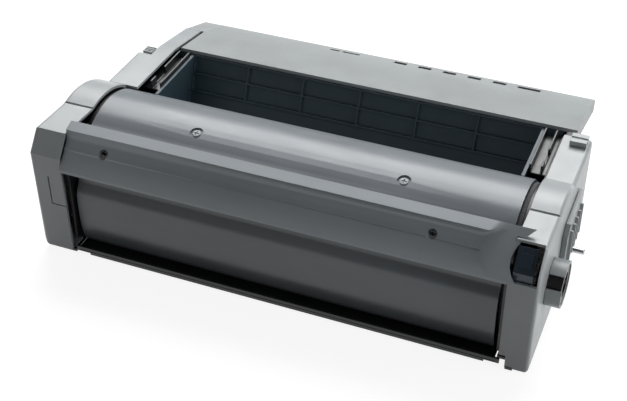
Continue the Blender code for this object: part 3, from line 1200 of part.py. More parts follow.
def waste_auger(b):
    """Auger with one flight, made as a section that turns along the shaft. Its ends are plain journals."""
    start = INNER_LEFT + HOUSING_WALL + 1.0
    end = INNER_RIGHT - HOUSING_WALL - 1.0
    flight = [(AUGER_RADIUS, -10.0), (AUGER_RADIUS, 10.0)]
    flight += [(AUGER_SHAFT_RADIUS, angle) for angle in (60.0, 120.0, 180.0, 240.0, 300.0)]
    journal = [(AUGER_SHAFT_RADIUS, angle) for radius, angle in flight]
    count = int((end - start) / AUGER_PITCH * AUGER_STEPS)
    sections = [(LEFT_FRAME_OUTER + 0.2, journal, 0.0), (start, journal, 0.0)]
    for i in range(count + 1):
        sections.append((start + 0.5 + (end - start - 1.0) * i / count, flight, 360.0 * i / AUGER_STEPS))
    sections.append((end, journal, sections[-1][2]))
    sections.append((INNER_LAYER + GEAR_WIDTH + 0.8, journal, sections[-1][2]))
    data = bmesh.new()
    rings = []
    for height, shape, turn in sections:
        points = [polar((0.0, 0.0), radius, angle + turn) for radius, angle in shape]
        rings.append([data.verts.new((u * MM, v * MM, height * MM)) for u, v in points])
    for low, high in zip(rings, rings[1:]):
        for i in range(len(low)):
            j = (i + 1) % len(low)
            data.faces.new((low[i], low[j], high[j], high[i]))
    data.faces.new(list(reversed(rings[0])))
    data.faces.new(rings[-1])
    b.place(mesh_object("waste_auger", data), 0.0, *AUGER, ACROSS, "gear_white")


# Agitators


def agitator(b, name, centre, radius, right_end):
    """Shaft with a blade that has windows, turning in the hopper."""
    start = BARREL_LEFT + 3.0
    end = BARREL_RIGHT - 3.0
    piece = cylinder(name, AGITATOR_SHAFT_RADIUS, right_end - LEFT_FRAME_OUTER - 0.2, 16)
    b.place(piece, (right_end + LEFT_FRAME_OUTER + 0.2) / 2, *centre, ACROSS, "frame_black")
    width = end - start
    outline = [(-width / 2, -radius), (width / 2, -radius), (width / 2, radius), (-width / 2, radius)]
    bar = 4.0
    bay = (width - bar) / AGITATOR_WINDOWS
    windows = []
    for i in range(AGITATOR_WINDOWS):
        u = -width / 2 + bar + i * bay
        for v, v_end in ((AGITATOR_SHAFT_RADIUS + 0.6, radius - bar), (bar - radius, -AGITATOR_SHAFT_RADIUS - 0.6)):
            windows.append([(u, v), (u + bay - bar, v), (u + bay - bar, v_end), (u, v_end)])
    blade = b.cutter(plate(name + "_blade", [outline] + windows, AGITATOR_BLADE), (start + end) / 2, *centre,
                     (math.pi / 2, 0.0, 0.0))
    b.boolean(piece, blade, "UNION")


# Gears


def gear_outline(teeth):
    """Tooth outline around (0, 0), with the first tooth on local X. Flanks bow like an involute's."""
    pitch = pitch_radius(teeth)
    tooth = 360.0 / teeth
    half = TOOTH_SHARE * tooth / 2
    tip = half * 0.50
    root = min(half * 1.45, tooth * 0.42)
    points = []
    for i in range(teeth):
        middle = i * tooth
        points += [polar((0.0, 0.0), radius, middle + angle) for radius, angle in
                   ((pitch - DEDENDUM * MODULE, -root), (pitch, -half), (pitch + ADDENDUM * MODULE, -tip),
                    (pitch + ADDENDUM * MODULE, tip), (pitch, half), (pitch - DEDENDUM * MODULE, root))]
    return points


def meshed_phase(centre, teeth, phase, other, other_teeth):
    """Turn, in degrees, that puts a gear in mesh with the gear before it, tooth against gap."""
    line = math.degrees(math.atan2(other[1] - centre[1], other[0] - centre[0]))
    offset = line - phase
    return line + 180.0 + 180.0 / other_teeth + offset * teeth / other_teeth


def gear_phases():
    """Turn of every gear at rest, followed out from the drum gear."""
    phases = {"drum": 0.0}
    chain = (("drum", "developer"), ("developer", "supply"), ("supply", "idler"), ("idler", "drive"),
             ("drive", "upper_agitator"), ("drive", "lower_agitator"), ("drum", "waste_idler"),
             ("waste_idler", "auger"))
    for first, second in chain:
        centre, teeth = GEARS[first]
        other, other_teeth = GEARS[second]
        phases[second] = meshed_phase(centre, teeth, phases[first], other, other_teeth)
    return phases


GEARS = {
    "drum": (DRUM, DRUM_TEETH),
    "developer": (DEVELOPER, DEVELOPER_TEETH),
    "supply": (SUPPLY, SUPPLY_TEETH),
    "idler": (IDLER, IDLER_TEETH),
    "drive": (COUPLING, DRIVE_TEETH),
    "upper_agitator": (UPPER_AGITATOR, UPPER_AGITATOR_TEETH),
    "lower_agitator": (LOWER_AGITATOR, LOWER_AGITATOR_TEETH),
    "waste_idler": (WASTE_IDLER, WASTE_IDLER_TEETH),
    "auger": (AUGER, AUGER_TEETH),
}
GEAR_PHASES = gear_phases()


def gear(b, name, teeth, centre, shaft_radius, start, width, phase):
    """Toothed wheel from start along x, with a bore for its shaft. The phase turns the outline itself."""
    turn = math.radians(phase)
    outline = [rotate_point(point, turn) for point in gear_outline(teeth)]
    bore = circle((0.0, 0.0), shaft_radius + SHAFT_PLAY, 16)
    piece = plate(name, [outline, bore], width)
    return b.place(piece, start + width / 2, *centre, ACROSS, "gear_white")


def gear_train(b):
    for name, layer, radius in (("developer", INNER_LAYER, ROLLER_SHAFT_RADIUS),
                                ("supply", INNER_LAYER, ROLLER_SHAFT_RADIUS),
                                ("idler", INNER_LAYER, STUD_RADIUS),
                                ("waste_idler", INNER_LAYER, STUD_RADIUS),
                                ("auger", INNER_LAYER, AUGER_SHAFT_RADIUS),
                                ("upper_agitator", OUTER_LAYER, AGITATOR_SHAFT_RADIUS),
                                ("lower_agitator", OUTER_LAYER, AGITATOR_SHAFT_RADIUS)):
        centre, teeth = GEARS[name]
        gear(b, name + "_gear", teeth, centre, radius, layer, GEAR_WIDTH, GEAR_PHASES[name])
    gear(b, "drive_gear", DRIVE_TEETH, COUPLING, COUPLING_SHAFT_RADIUS, INNER_LAYER,
         OUTER_LAYER + GEAR_WIDTH - INNER_LAYER, GEAR_PHASES["drive"])


def idler_studs(b):
    """Two shouldered pins on the right side frame that carry the idler gears."""
    base = RIGHT_FRAME_OUTER + GAP
    shoulder = INNER_LAYER - GAP
    tip = INNER_LAYER + GEAR_WIDTH + 0.6
    profile = [(0.0, tip), (STUD_RADIUS, tip), (STUD_RADIUS, shoulder), (STUD_RADIUS + 1.5, shoulder),
               (STUD_RADIUS + 1.5, base), (0.0, base)]
    for name, centre in (("idler_stud", IDLER), ("waste_idler_stud", WASTE_IDLER)):
        b.place(turned(name, profile, 16), 0.0, *centre, ACROSS, "steel")


# Drive coupling and chip


def drive_coupling(b):
    """Driven half of the coupling: a hub with a socket and dogs, on a shaft that carries the drive gear."""
    face = RIGHT_X + COUPLING_REACH - 0.9
    hub_start = RIGHT_X - COVER_WALL - 1.2
    socket = face - 6.5
    tail = RIGHT_FRAME_INNER
    profile = [(COUPLING_SOCKET_RADIUS, face), (COUPLING_HUB_RADIUS, face), (COUPLING_HUB_RADIUS, hub_start),
               (COUPLING_SHAFT_RADIUS, hub_start), (COUPLING_SHAFT_RADIUS, tail), (0.0, tail)]
    profile = [(0.0, socket), (COUPLING_SOCKET_RADIUS, socket)] + profile
    piece = turned("drive_coupling", profile, 28)
    b.place(piece, 0.0, *COUPLING, ACROSS, "frame_black")
    for i in range(COUPLING_DOGS):
        middle = 90.0 + 360.0 * i / COUPLING_DOGS
        y, z = polar(COUPLING, COUPLING_SOCKET_RADIUS - 0.6, middle)
        turn = math.radians(middle)
        dog = b.cutter(box("coupling_dog_%d" % i, (6.0, 4.0, 2.6)), face - 3.6, y, z, (turn, 0.0, 0.0))
        b.boolean(piece, dog, "UNION")


def chip_parts(b):
    """Memory chip on its holder, set back in the pocket of the right end cover's chamfer."""
    low = Vector((-1.2, COVER_CHAMFER_BOTTOM))
    high = Vector((COVER_CHAMFER_DEPTH, COVER_TOP_FRONT))
    along = (high - low).normalized()
    inward = Vector((along.y, -along.x))
    drop = low + inward * CHIP_DROP
    top = high + inward * CHIP_DROP - along * 1.4
    foot = Vector((drop.x, POCKET_BOTTOM + GAP))
    back = CHIP_HOLDER_THICKNESS
    outline = [tuple(foot), tuple(drop), tuple(top), tuple(top + inward * back), tuple(drop + inward * back),
               (foot.x + back, foot.y)]
    x = POCKET_INNER_X + GAP + CHIP_HOLDER_WIDTH / 2
    b.place(plate("chip_holder", [outline], CHIP_HOLDER_WIDTH), x, rotation=ACROSS, material="chip_blue")
    middle = drop.lerp(top, 0.5) - inward * (GAP + CHIP_THICKNESS / 2)
    tilt = math.atan2(along.y, along.x)
    chip = box("memory_chip", (CHIP_SIZE, CHIP_SIZE, CHIP_THICKNESS))
    b.place(chip, x, middle.x, middle.y, (tilt, 0.0, 0.0), "contact_metal")


def build_all():
    clear_scene()
    b = Builder()
    left_end_cover(b)
    left_side_cover(b)
    side_clip(b)
    right_end_cover(b)
    top_latch(b)
    side_gear_cover(b)
    coupling_collar(b)
    hopper_cover(b)
    hopper_screws(b)
    hopper_tub(b)
    developer_cap(b)
    metering_blade(b)
    hopper_end_seals(b)
    toner_plug(b)
    side_frames(b)
    front_grip(b)
    grip_screws(b)
    front_crossbar(b)
    front_rail(b)
    guide_rails(b)
    waste_housing(b)
    rear_cover(b)
    drum(b)
    gear_end = INNER_LAYER + GEAR_WIDTH + 0.8
    roller(b, "developer", DEVELOPER, DEVELOPER_RADIUS, "rubber_black", gear_end)
    roller(b, "supply", SUPPLY, SUPPLY_RADIUS, "foam_grey", gear_end)
    charge_unit(b)
    cleaning_blade(b)
    recovery_seal(b)
    waste_auger(b)
    outer_end = OUTER_LAYER + GEAR_WIDTH + 0.8
    agitator(b, "upper_agitator", UPPER_AGITATOR, UPPER_AGITATOR_RADIUS, outer_end)
    agitator(b, "lower_agitator", LOWER_AGITATOR, LOWER_AGITATOR_RADIUS, outer_end)
    gear_train(b)
    idler_studs(b)
    drive_coupling(b)
    chip_parts(b)


build_all()
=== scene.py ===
import json
import math

import bpy
from bpy.props import FloatProperty, FloatVectorProperty, IntProperty, PointerProperty, StringProperty
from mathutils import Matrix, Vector

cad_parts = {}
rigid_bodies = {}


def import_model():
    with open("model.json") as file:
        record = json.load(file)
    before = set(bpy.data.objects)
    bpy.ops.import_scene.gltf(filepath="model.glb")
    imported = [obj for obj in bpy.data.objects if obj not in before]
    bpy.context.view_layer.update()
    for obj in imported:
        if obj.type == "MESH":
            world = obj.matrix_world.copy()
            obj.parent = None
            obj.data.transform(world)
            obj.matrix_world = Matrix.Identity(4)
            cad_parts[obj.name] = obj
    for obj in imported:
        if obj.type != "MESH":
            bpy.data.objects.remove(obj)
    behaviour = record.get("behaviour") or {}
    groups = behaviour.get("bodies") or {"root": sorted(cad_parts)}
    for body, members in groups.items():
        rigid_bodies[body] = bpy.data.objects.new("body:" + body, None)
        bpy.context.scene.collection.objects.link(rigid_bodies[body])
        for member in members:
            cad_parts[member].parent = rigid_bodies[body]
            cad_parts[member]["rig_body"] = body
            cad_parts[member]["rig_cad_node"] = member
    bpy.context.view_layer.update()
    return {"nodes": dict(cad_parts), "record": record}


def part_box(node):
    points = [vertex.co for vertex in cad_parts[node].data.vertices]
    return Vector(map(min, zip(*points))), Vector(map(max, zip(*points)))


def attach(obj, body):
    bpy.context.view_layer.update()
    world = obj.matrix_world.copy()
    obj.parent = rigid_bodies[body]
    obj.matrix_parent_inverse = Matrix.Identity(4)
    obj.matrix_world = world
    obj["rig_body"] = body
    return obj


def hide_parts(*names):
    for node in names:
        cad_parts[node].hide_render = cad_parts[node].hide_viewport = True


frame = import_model()

bl_info = {
    "name": "Toner cartridge",
    "version": (1, 0, 0),
    "blender": (4, 5, 0),
    "location": "View3D > Sidebar > Cartridge",
    "description": "Finishes a laser printer's toner cartridge: covers, hopper, drum unit and gears",
    "category": "Object",
}

MM = 0.001

# The row's frame starts under the middle of the cartridge. The cartridge's own millimetres count x from the
# middle of the housing, y back from its front face, and z up from the covers' lower edge.
ORIGIN = Vector((5.05, 104.5, -2.5)) * MM

# The round hopper cover: its axis as (y, z), its radius and its ends
BARREL = (57.4, 35.8)
BARREL_RADIUS = 48.0
BARREL_LEFT, BARREL_RIGHT = -137.6, 139.1

# Inner faces of the side frames
HOUSING_LEFT, HOUSING_RIGHT = -138.7, 142.0

# Play between the tub's floor and the frames
PLAY = 0.3

# The grip's left end, and the inner face of the right end cover that its right end lies on
GRIP_LEFT, GRIP_COVER = -141.0, 144.3

# Seats of the grip's two screws
GRIP_SCREWS = ((-114.3, 9.8, 77.6), (97.4, 9.8, 77.6))

# Slots in the rear cover's slope: the first one's left end, the step to the next, and how many
SLOT_START, SLOT_PITCH, SLOT_COUNT = 8.4, 18.1, 6
SLOT_LENGTH, LONG_SLOT_LENGTH = 9.5, 15.5

# Sizes and colours


class CartridgeSizes(bpy.types.PropertyGroup):
    edge: FloatProperty(name="Moulded edge", description="Radius on the edges of the outer covers",
                        default=0.45 * MM, subtype="DISTANCE")
    fine_edge: FloatProperty(name="Fine edge", description="Radius on the edges of inner and small pieces",
                             default=0.2 * MM, subtype="DISTANCE")
    gear_edge: FloatProperty(name="Gear edge", description="Radius on the edges of the gears' teeth",
                             default=0.1 * MM, subtype="DISTANCE")
    edge_steps: IntProperty(name="Edge steps", description="Steps across a rounded edge", default=2)
    grip_valley: FloatProperty(name="Grip valley", description="Depth of the finger valley along the grip",
                               default=0.8 * MM, subtype="DISTANCE")
    grip_crest: FloatProperty(name="Grip crest", description="Reach of the grip's flat upper band",
                              default=5.0 * MM, subtype="DISTANCE")
    grip_growth: FloatProperty(name="Grip growth", description="How much deeper the valley gets to the right",
                               default=2.2 * MM, subtype="DISTANCE")
    grip_horn: FloatProperty(name="Grip horn", description="Reach of the horn over the right end cover",
                             default=10.0 * MM, subtype="DISTANCE")
    grip_wall: FloatProperty(name="Grip wall", description="Wall of the hollow grip", default=2.0 * MM,
                             subtype="DISTANCE")
    hopper_wall: FloatProperty(name="Hopper wall", description="Wall of the hopper cover", default=2.4 * MM,
                               subtype="DISTANCE")
    screw_head: FloatProperty(name="Screw head", description="Radius of the screws' pan heads",
                              default=2.7 * MM, subtype="DISTANCE")
    guide_edge: FloatProperty(name="Guide edge", description="Radius on the edges of the guide rails",
                              default=0.35 * MM, subtype="DISTANCE")
    rib_edge: FloatProperty(name="Rib edge", description="Chamfer on the edges of the waste housing's ribs",
                            default=0.34 * MM, subtype="DISTANCE")
    grain: FloatProperty(name="Spark grain", description="Size of the moulded grain, coarser than real",
                         default=0.45 * MM, subtype="DISTANCE")


class CartridgeColours(bpy.types.PropertyGroup):
    cover: StringProperty(name="Covers", description="Light grey of the outer covers, sRGB",
                          default="9FA4A6")
    barrel: StringProperty(name="Hopper cover", description="Grey of the round hopper cover, sRGB",
                           default="757B80")
    grip: StringProperty(name="Grip", description="Grey of the front grip, sRGB",
                         default="A0A7AB")
    black: StringProperty(name="Frames", description="Black of the frames and the tub, sRGB",
                          default="08090A")
    waste: StringProperty(name="Waste housing", description="Blue-black of the waste housing, sRGB",
                          default="2E4049")
    gear: StringProperty(name="Gears", description="Natural white of the gears, sRGB",
                         default="D8D7CE")
    drum: StringProperty(name="Drum coat", description="Blue-green of the drum's coat, sRGB",
                         default="2F7F84")
    chip: StringProperty(name="Chip holder", description="Deep blue of the chip's holder, sRGB",
                         default="142B3C")


class StageSettings(bpy.types.PropertyGroup):
    azimuth: FloatProperty(name="Azimuth", description="Camera's turn round the part",
                           default=math.radians(21.8), subtype="ANGLE")
    elevation: FloatProperty(name="Elevation", description="Camera's height above the horizon",
                             default=math.radians(37.1), subtype="ANGLE")
    place: FloatVectorProperty(name="Camera", description="Camera's place",
                               default=(0.23165, -0.6252, 0.5143), subtype="TRANSLATION")
    lens: FloatProperty(name="Lens", description="Focal length in millimetres", default=70.6)
    key: FloatProperty(name="Key", description="Power of the overhead light in watts", default=30.0)
    front: FloatProperty(name="Front", description="Power of the weak light at the front left in watts",
                         default=1.2)
    side: FloatProperty(name="Side", description="Power of the light on the right in watts", default=9.0)
    sky: FloatProperty(name="Sky", description="Strength of the even light from all round", default=0.10)
    bounce: FloatProperty(name="Floor bounce", description="Share of the light that the floor throws back",
                          default=0.25)


# Mesh helpers


def deselect():
    if bpy.context.object and bpy.context.object.mode != "OBJECT":
        bpy.ops.object.mode_set(mode="OBJECT")
    bpy.ops.object.select_all(action="DESELECT")


def make_active(piece):
    deselect()
    piece.select_set(True)
    bpy.context.view_layer.objects.active = piece


def box_of(node):
    low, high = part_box(node)
    return low, high, (low + high) / 2


def apply_all(piece):
    make_active(piece)
    for step in list(piece.modifiers):
        bpy.ops.object.modifier_apply(modifier=step.name)


def settle(piece):
    """Puts the piece's place, turn and scale in its mesh."""
    make_active(piece)
    bpy.ops.object.transform_apply(location=True, rotation=True, scale=True)


def copy_of(node, name):
    """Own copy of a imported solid, welded and with its flat faces whole."""
    make_active(frame["nodes"][node])
    bpy.ops.object.duplicate()
    piece = bpy.context.object
    piece.name = name
    piece.data.name = name
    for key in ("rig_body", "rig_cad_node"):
        if key in piece:
            del piece[key]
    piece.parent = None
    bpy.ops.object.mode_set(mode="EDIT")
    bpy.ops.mesh.select_all(action="SELECT")
    bpy.ops.mesh.remove_doubles(threshold=0.000005)
    bpy.ops.mesh.dissolve_limited(angle_limit=math.radians(0.6))
    bpy.ops.object.mode_set(mode="OBJECT")
    return piece


def round_edges(piece, width, steps=2, angle=32.0):
    """Small radius on every sharp edge, with the faces kept flat."""
    make_active(piece)
    rounding = piece.modifiers.new("rounding", "BEVEL")
    rounding.width = width
    rounding.segments = steps
    rounding.limit_method = "ANGLE"
    rounding.angle_limit = math.radians(angle)
    rounding.use_clamp_overlap = True
    rounding.miter_outer = "MITER_ARC"
    bpy.ops.object.modifier_apply(modifier=rounding.name)
    bpy.ops.object.shade_smooth_by_angle(angle=math.radians(angle))
    flat = piece.modifiers.new("flat", "WEIGHTED_NORMAL")
    flat.keep_sharp = True
    flat.weight = 80
    bpy.ops.object.modifier_apply(modifier=flat.name)
    return piece


def body_of(node):
    for body, members in frame["record"]["behaviour"]["bodies"].items():
        if node in members:
            return body
    raise RuntimeError("no body holds " + node)


def dress(piece, material, node, replace=True):
    """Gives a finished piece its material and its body."""
    piece.data.materials.clear()
    piece.data.materials.append(material)
    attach(piece, body_of(node))
    if replace:
        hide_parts(node)
    return piece


def rounded(node, material, width, steps=2, angle=32.0):
    """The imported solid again, with rounded edges and its real finish."""
    piece = round_edges(copy_of(node, node + "_moulded"), width, steps, angle)
    return dress(piece, material, node)


def boolean(piece, other, operation):
    step = piece.modifiers.new(operation.lower(), "BOOLEAN")
    step.operation = operation
    step.solver = "EXACT"
    step.object = other
    apply_all(piece)
    bpy.data.objects.remove(other, do_unlink=True)
    return piece


def at(x, y, z):
    """Point of the row's frame from the cartridge's own millimetres."""
    return Vector((x, y, z)) * MM - ORIGIN


def swept(name, rows, out):
    """Open sheet through rows of points, facing out."""
    deselect()
    bpy.ops.mesh.primitive_grid_add(x_subdivisions=len(rows[0]) - 1, y_subdivisions=len(rows) - 1, size=1.0)
    piece = bpy.context.object
    piece.name = name
    order = sorted(piece.data.vertices, key=lambda v: (round(v.co.y, 5), round(v.co.x, 5)))
    for vertex, point in zip(order, [point for row in rows for point in row]):
        vertex.co = at(*point)
    piece.data.update()
    if piece.data.polygons[0].normal.dot(Vector(out)) < 0.0:
        bpy.ops.object.mode_set(mode="EDIT")
        bpy.ops.mesh.select_all(action="SELECT")
        bpy.ops.mesh.flip_normals()
        bpy.ops.object.mode_set(mode="OBJECT")
    return piece


def walled(piece, wall):
    """Gives a sheet its wall, behind the side that faces out."""
    sheet = piece.modifiers.new("wall", "SOLIDIFY")
    sheet.thickness = wall
    sheet.offset = -1.0
    sheet.use_even_offset = True
    apply_all(piece)
    return piece


def pushed(piece, way):
    """Gives a sheet its wall by a push one way, which keeps the inner side clear at sharp folds."""
    make_active(piece)
    bpy.ops.object.mode_set(mode="EDIT")
    bpy.ops.mesh.select_all(action="SELECT")
    bpy.ops.mesh.extrude_region_move(TRANSFORM_OT_translate={"value": way})
    bpy.ops.mesh.select_all(action="SELECT")
    bpy.ops.mesh.normals_make_consistent(inside=False)
    bpy.ops.object.mode_set(mode="OBJECT")
    return piece


def block(name, low, high):
    """Box between two corners."""
    deselect()
    low, high = at(*low), at(*high)
    bpy.ops.mesh.primitive_cube_add(size=1.0, location=(low + high) / 2)
    piece = bpy.context.object
    piece.name = name
    piece.scale = high - low
    settle(piece)
    return piece


def profile_bar(name, outline, left, right):
    """Bar of one section, (y, z) points, from left to right."""
    deselect()
    bpy.ops.mesh.primitive_circle_add(vertices=len(outline), radius=1.0, fill_type="NGON")
    piece = bpy.context.object
    piece.name = name
    for vertex, (y, z) in zip(piece.data.vertices, outline):
        vertex.co = at(left, y, z)
    bpy.ops.object.mode_set(mode="EDIT")
    bpy.ops.mesh.select_all(action="SELECT")
    bpy.ops.mesh.extrude_region_move(TRANSFORM_OT_translate={"value": ((right - left) * MM, 0.0, 0.0)})
    bpy.ops.mesh.select_all(action="SELECT")
    bpy.ops.mesh.normals_make_consistent(inside=False)
    bpy.ops.object.mode_set(mode="OBJECT")
    settle(piece)
    return piece


def rod(name, middle, axis, radius, length, sides=24):
    """Round bar or cutter, along an axis through its middle."""
    deselect()
    bpy.ops.mesh.primitive_cylinder_add(vertices=sides, radius=radius * MM, depth=length * MM,
                                        location=at(*middle))
    piece = bpy.context.object
    piece.name = name
    piece.rotation_mode = "QUATERNION"
    piece.rotation_quaternion = Vector(axis).to_track_quat("Z", "Y")
    settle(piece)
    return piece


def flowing(points, steps):
    """Smooth line through the points."""
    ends = [points[0]] + list(points) + [points[-1]]
    line = []
    for a, b, c, d in zip(ends, ends[1:], ends[2:], ends[3:]):
        for i in range(steps):
            t = i / steps
            line.append(tuple(0.5 * (2 * q + (r - p) * t + (2 * p - 5 * q + 4 * r - e) * t * t
                                     + (3 * q - p - 3 * r + e) * t ** 3) for p, q, r, e in zip(a, b, c, d)))
    return line + [tuple(points[-1])]


def polar(radius, angle):
    """Point (y, z) round the barrel's axis, at an angle from the back towards the top."""
    turn = math.radians(angle)
    return BARREL[0] + radius * math.cos(turn), BARREL[1] + radius * math.sin(turn)


# Materials


def linear(colour):
    """Linear RGB from an sRGB hex value."""
    values = []
    for i in (0, 2, 4):
        c = int(colour[i:i + 2], 16) / 255
        values.append(c / 12.92 if c <= 0.04045 else ((c + 0.055) / 1.055) ** 2.4)
    return (*values, 1.0)


def add(tree, kind, settings=(), values=(), links=()):
    """Adds a node with its settings, its socket values and its links."""
    node = tree.nodes.new(kind)
    for key, value in dict(settings).items():
        setattr(node, key, value)
    for key, value in dict(values).items():
        node.inputs[key].default_value = value
    for key, source, output in links:
        tree.links.new(source.outputs[output], node.inputs[key])
    return node


def start_material(name):
    """Empty material with a Principled shader, and object coordinates to draw patterns on."""
    material = bpy.data.materials.new(name)
    material.use_nodes = True
    tree = material.node_tree
    shader = tree.nodes["Principled BSDF"]
    place = add(tree, "ShaderNodeTexCoord")
    return material, tree, shader, place


def ramp(tree, source, output, stops, low=0.0, high=1.0):
    """Colour ramp between sRGB hex values, over part of the source's range."""
    node = add(tree, "ShaderNodeValToRGB", links=(("Fac", source, output),))
    elements = node.color_ramp.elements
    while len(elements) < len(stops):
        elements.new(0.5)
    for i, stop in enumerate(stops):
        elements[i].position = low + (high - low) * i / (len(stops) - 1)
        elements[i].color = linear(stop)
    return node


def stretched(tree, place, scale):
    """Object coordinates, stretched along the axes with a small scale."""
    return add(tree, "ShaderNodeMapping", values={"Scale": scale}, links=(("Vector", place, "Object"),))


def gloss_over(tree, source, low, high):
    """Roughness from low to high, over the middle of a noise."""
    spans = {"From Min": 0.3, "From Max": 0.7, "To Min": low, "To Max": high}
    return add(tree, "ShaderNodeMapRange", values=spans, links=(("Value", source, "Fac"),))


def shade(colour, factor):
    """The same colour, lighter or darker, as a hex value."""
    parts = [min(255, max(0, round(int(colour[i:i + 2], 16) * factor))) for i in (0, 2, 4)]
    return "%02X%02X%02X" % tuple(parts)


def moulded_abs(name, colour, roughness, grain, grain_depth=0.35, spread=0.03, streak=(1.0, 1.0, 1.0)):
    """Injection-moulded ABS with a spark-eroded grain."""
    # ABS from an eroded mould: an even satin surface, faintly cloudy where the melt cooled unevenly, and a
    # fine grain that softens the highlights. The real grain is about 0.1 mm, drawn coarser so that it shows.
    material, tree, shader, place = start_material(name)
    turn = stretched(tree, place, streak)
    cloud = add(tree, "ShaderNodeTexNoise", values={"Scale": 1 / (38 * MM), "Detail": 3.0, "Roughness": 0.55},
                links=(("Vector", turn, "Vector"),))
    tones = (shade(colour, 1 - spread), colour, shade(colour, 1 + spread))
    tone = ramp(tree, cloud, "Fac", tones, 0.3, 0.7)
    tree.links.new(tone.outputs["Color"], shader.inputs["Base Color"])
    fine = add(tree, "ShaderNodeTexNoise", values={"Scale": 1 / grain, "Detail": 2.0, "Roughness": 0.6},
               links=(("Vector", place, "Object"),))
    wear = add(tree, "ShaderNodeTexNoise", values={"Scale": 1 / (9 * MM), "Detail": 4.0, "Roughness": 0.7},
               links=(("Vector", turn, "Vector"),))
    gloss = gloss_over(tree, wear, roughness - 0.05, roughness + 0.06)
    tree.links.new(gloss.outputs["Result"], shader.inputs["Roughness"])
    bump = add(tree, "ShaderNodeBump", values={"Strength": grain_depth, "Distance": 0.03 * MM},
               links=(("Height", fine, "Fac"),))
    tree.links.new(bump.outputs["Normal"], shader.inputs["Normal"])
    shader.inputs["IOR"].default_value = 1.53
    return material


def turned_steel(name, dark="A8ABAE", light="C2C5C8"):
    """Drawn and centreless-ground steel rod."""
    # Ground steel: bright, with fine rings round the rod that spread the highlight along it.
    material, tree, shader, place = start_material(name)
    turn = stretched(tree, place, (1.0, 0.02, 0.02))
    rings = add(tree, "ShaderNodeTexNoise", values={"Scale": 1 / (0.4 * MM), "Detail": 2.0},
                links=(("Vector", turn, "Vector"),))
    tone = ramp(tree, rings, "Fac", (dark, light), 0.35, 0.65)
    tree.links.new(tone.outputs["Color"], shader.inputs["Base Color"])
    gloss = gloss_over(tree, rings, 0.2, 0.36)
    tree.links.new(gloss.outputs["Result"], shader.inputs["Roughness"])
    shader.inputs["Metallic"].default_value = 1.0
    return material


def sheet_steel(name):
    """Cold-rolled steel strip, zinc plated."""
    # Zinc-plated strip: dull silver with a faint rolled grain along its length.
    material, tree, shader, place = start_material(name)
    turn = stretched(tree, place, (0.04, 1.0, 1.0))
    grain = add(tree, "ShaderNodeTexNoise", values={"Scale": 1 / (0.5 * MM), "Detail": 3.0},
                links=(("Vector", turn, "Vector"),))
    tone = ramp(tree, grain, "Fac", ("9A9DA1", "B9BCC0"), 0.3, 0.7)
    tree.links.new(tone.outputs["Color"], shader.inputs["Base Color"])
    gloss = gloss_over(tree, grain, 0.3, 0.45)
    tree.links.new(gloss.outputs["Result"], shader.inputs["Roughness"])
    shader.inputs["Metallic"].default_value = 1.0
    return material


def coated_drum(name, colour, start, end):
    """Aluminium tube dipped in an organic photoconductor, with bare rims."""
    # The coat is glossy and blue-green. It stops a few millimetres short of the rims, where the dip is wiped
    # off and the bare aluminium shows.
    material, tree, shader, place = start_material(name)
    split = add(tree, "ShaderNodeSeparateXYZ", links=(("Vector", place, "Object"),))
    middle = (start + end) / 2
    shift = add(tree, "ShaderNodeMath", {"operation": "SUBTRACT"}, {1: middle}, ((0, split, "X"),))
    reach = add(tree, "ShaderNodeMath", {"operation": "ABSOLUTE"}, links=((0, shift, "Value"),))
    bare = add(tree, "ShaderNodeMath", {"operation": "GREATER_THAN"}, {1: (end - start) / 2 - 3.5 * MM},
               ((0, reach, "Value"),))
    cloud = add(tree, "ShaderNodeTexNoise", values={"Scale": 1 / (30 * MM), "Detail": 2.0},
                links=(("Vector", place, "Object"),))
    tone = ramp(tree, cloud, "Fac", (shade(colour, 0.94), shade(colour, 1.05)), 0.3, 0.7)
    mix = add(tree, "ShaderNodeMix", {"data_type": "RGBA"}, {7: linear("C9CCCE")},
              ((0, bare, "Value"), (6, tone, "Color")))
    tree.links.new(mix.outputs[2], shader.inputs["Base Color"])
    tree.links.new(bare.outputs["Value"], shader.inputs["Metallic"])
    gloss = add(tree, "ShaderNodeMapRange", values={"To Min": 0.12, "To Max": 0.34},
                links=(("Value", bare, "Value"),))
    tree.links.new(gloss.outputs["Result"], shader.inputs["Roughness"])
    return material


def ground_rubber(name, colour, grit, roughness=0.72):
    """Ground conductive rubber."""
    # A ground roller is matt, with a fine even tooth from the stone.
    material, tree, shader, place = start_material(name)
    grain = add(tree, "ShaderNodeTexNoise", values={"Scale": 1 / grit, "Detail": 3.0, "Roughness": 0.7},
                links=(("Vector", place, "Object"),))
    tone = ramp(tree, grain, "Fac", (shade(colour, 0.85), shade(colour, 1.15)), 0.3, 0.7)
    tree.links.new(tone.outputs["Color"], shader.inputs["Base Color"])
    bump = add(tree, "ShaderNodeBump", values={"Strength": 0.4, "Distance": 0.05 * MM},
               links=(("Height", grain, "Fac"),))
    tree.links.new(bump.outputs["Normal"], shader.inputs["Normal"])
    shader.inputs["Roughness"].default_value = roughness
    return material


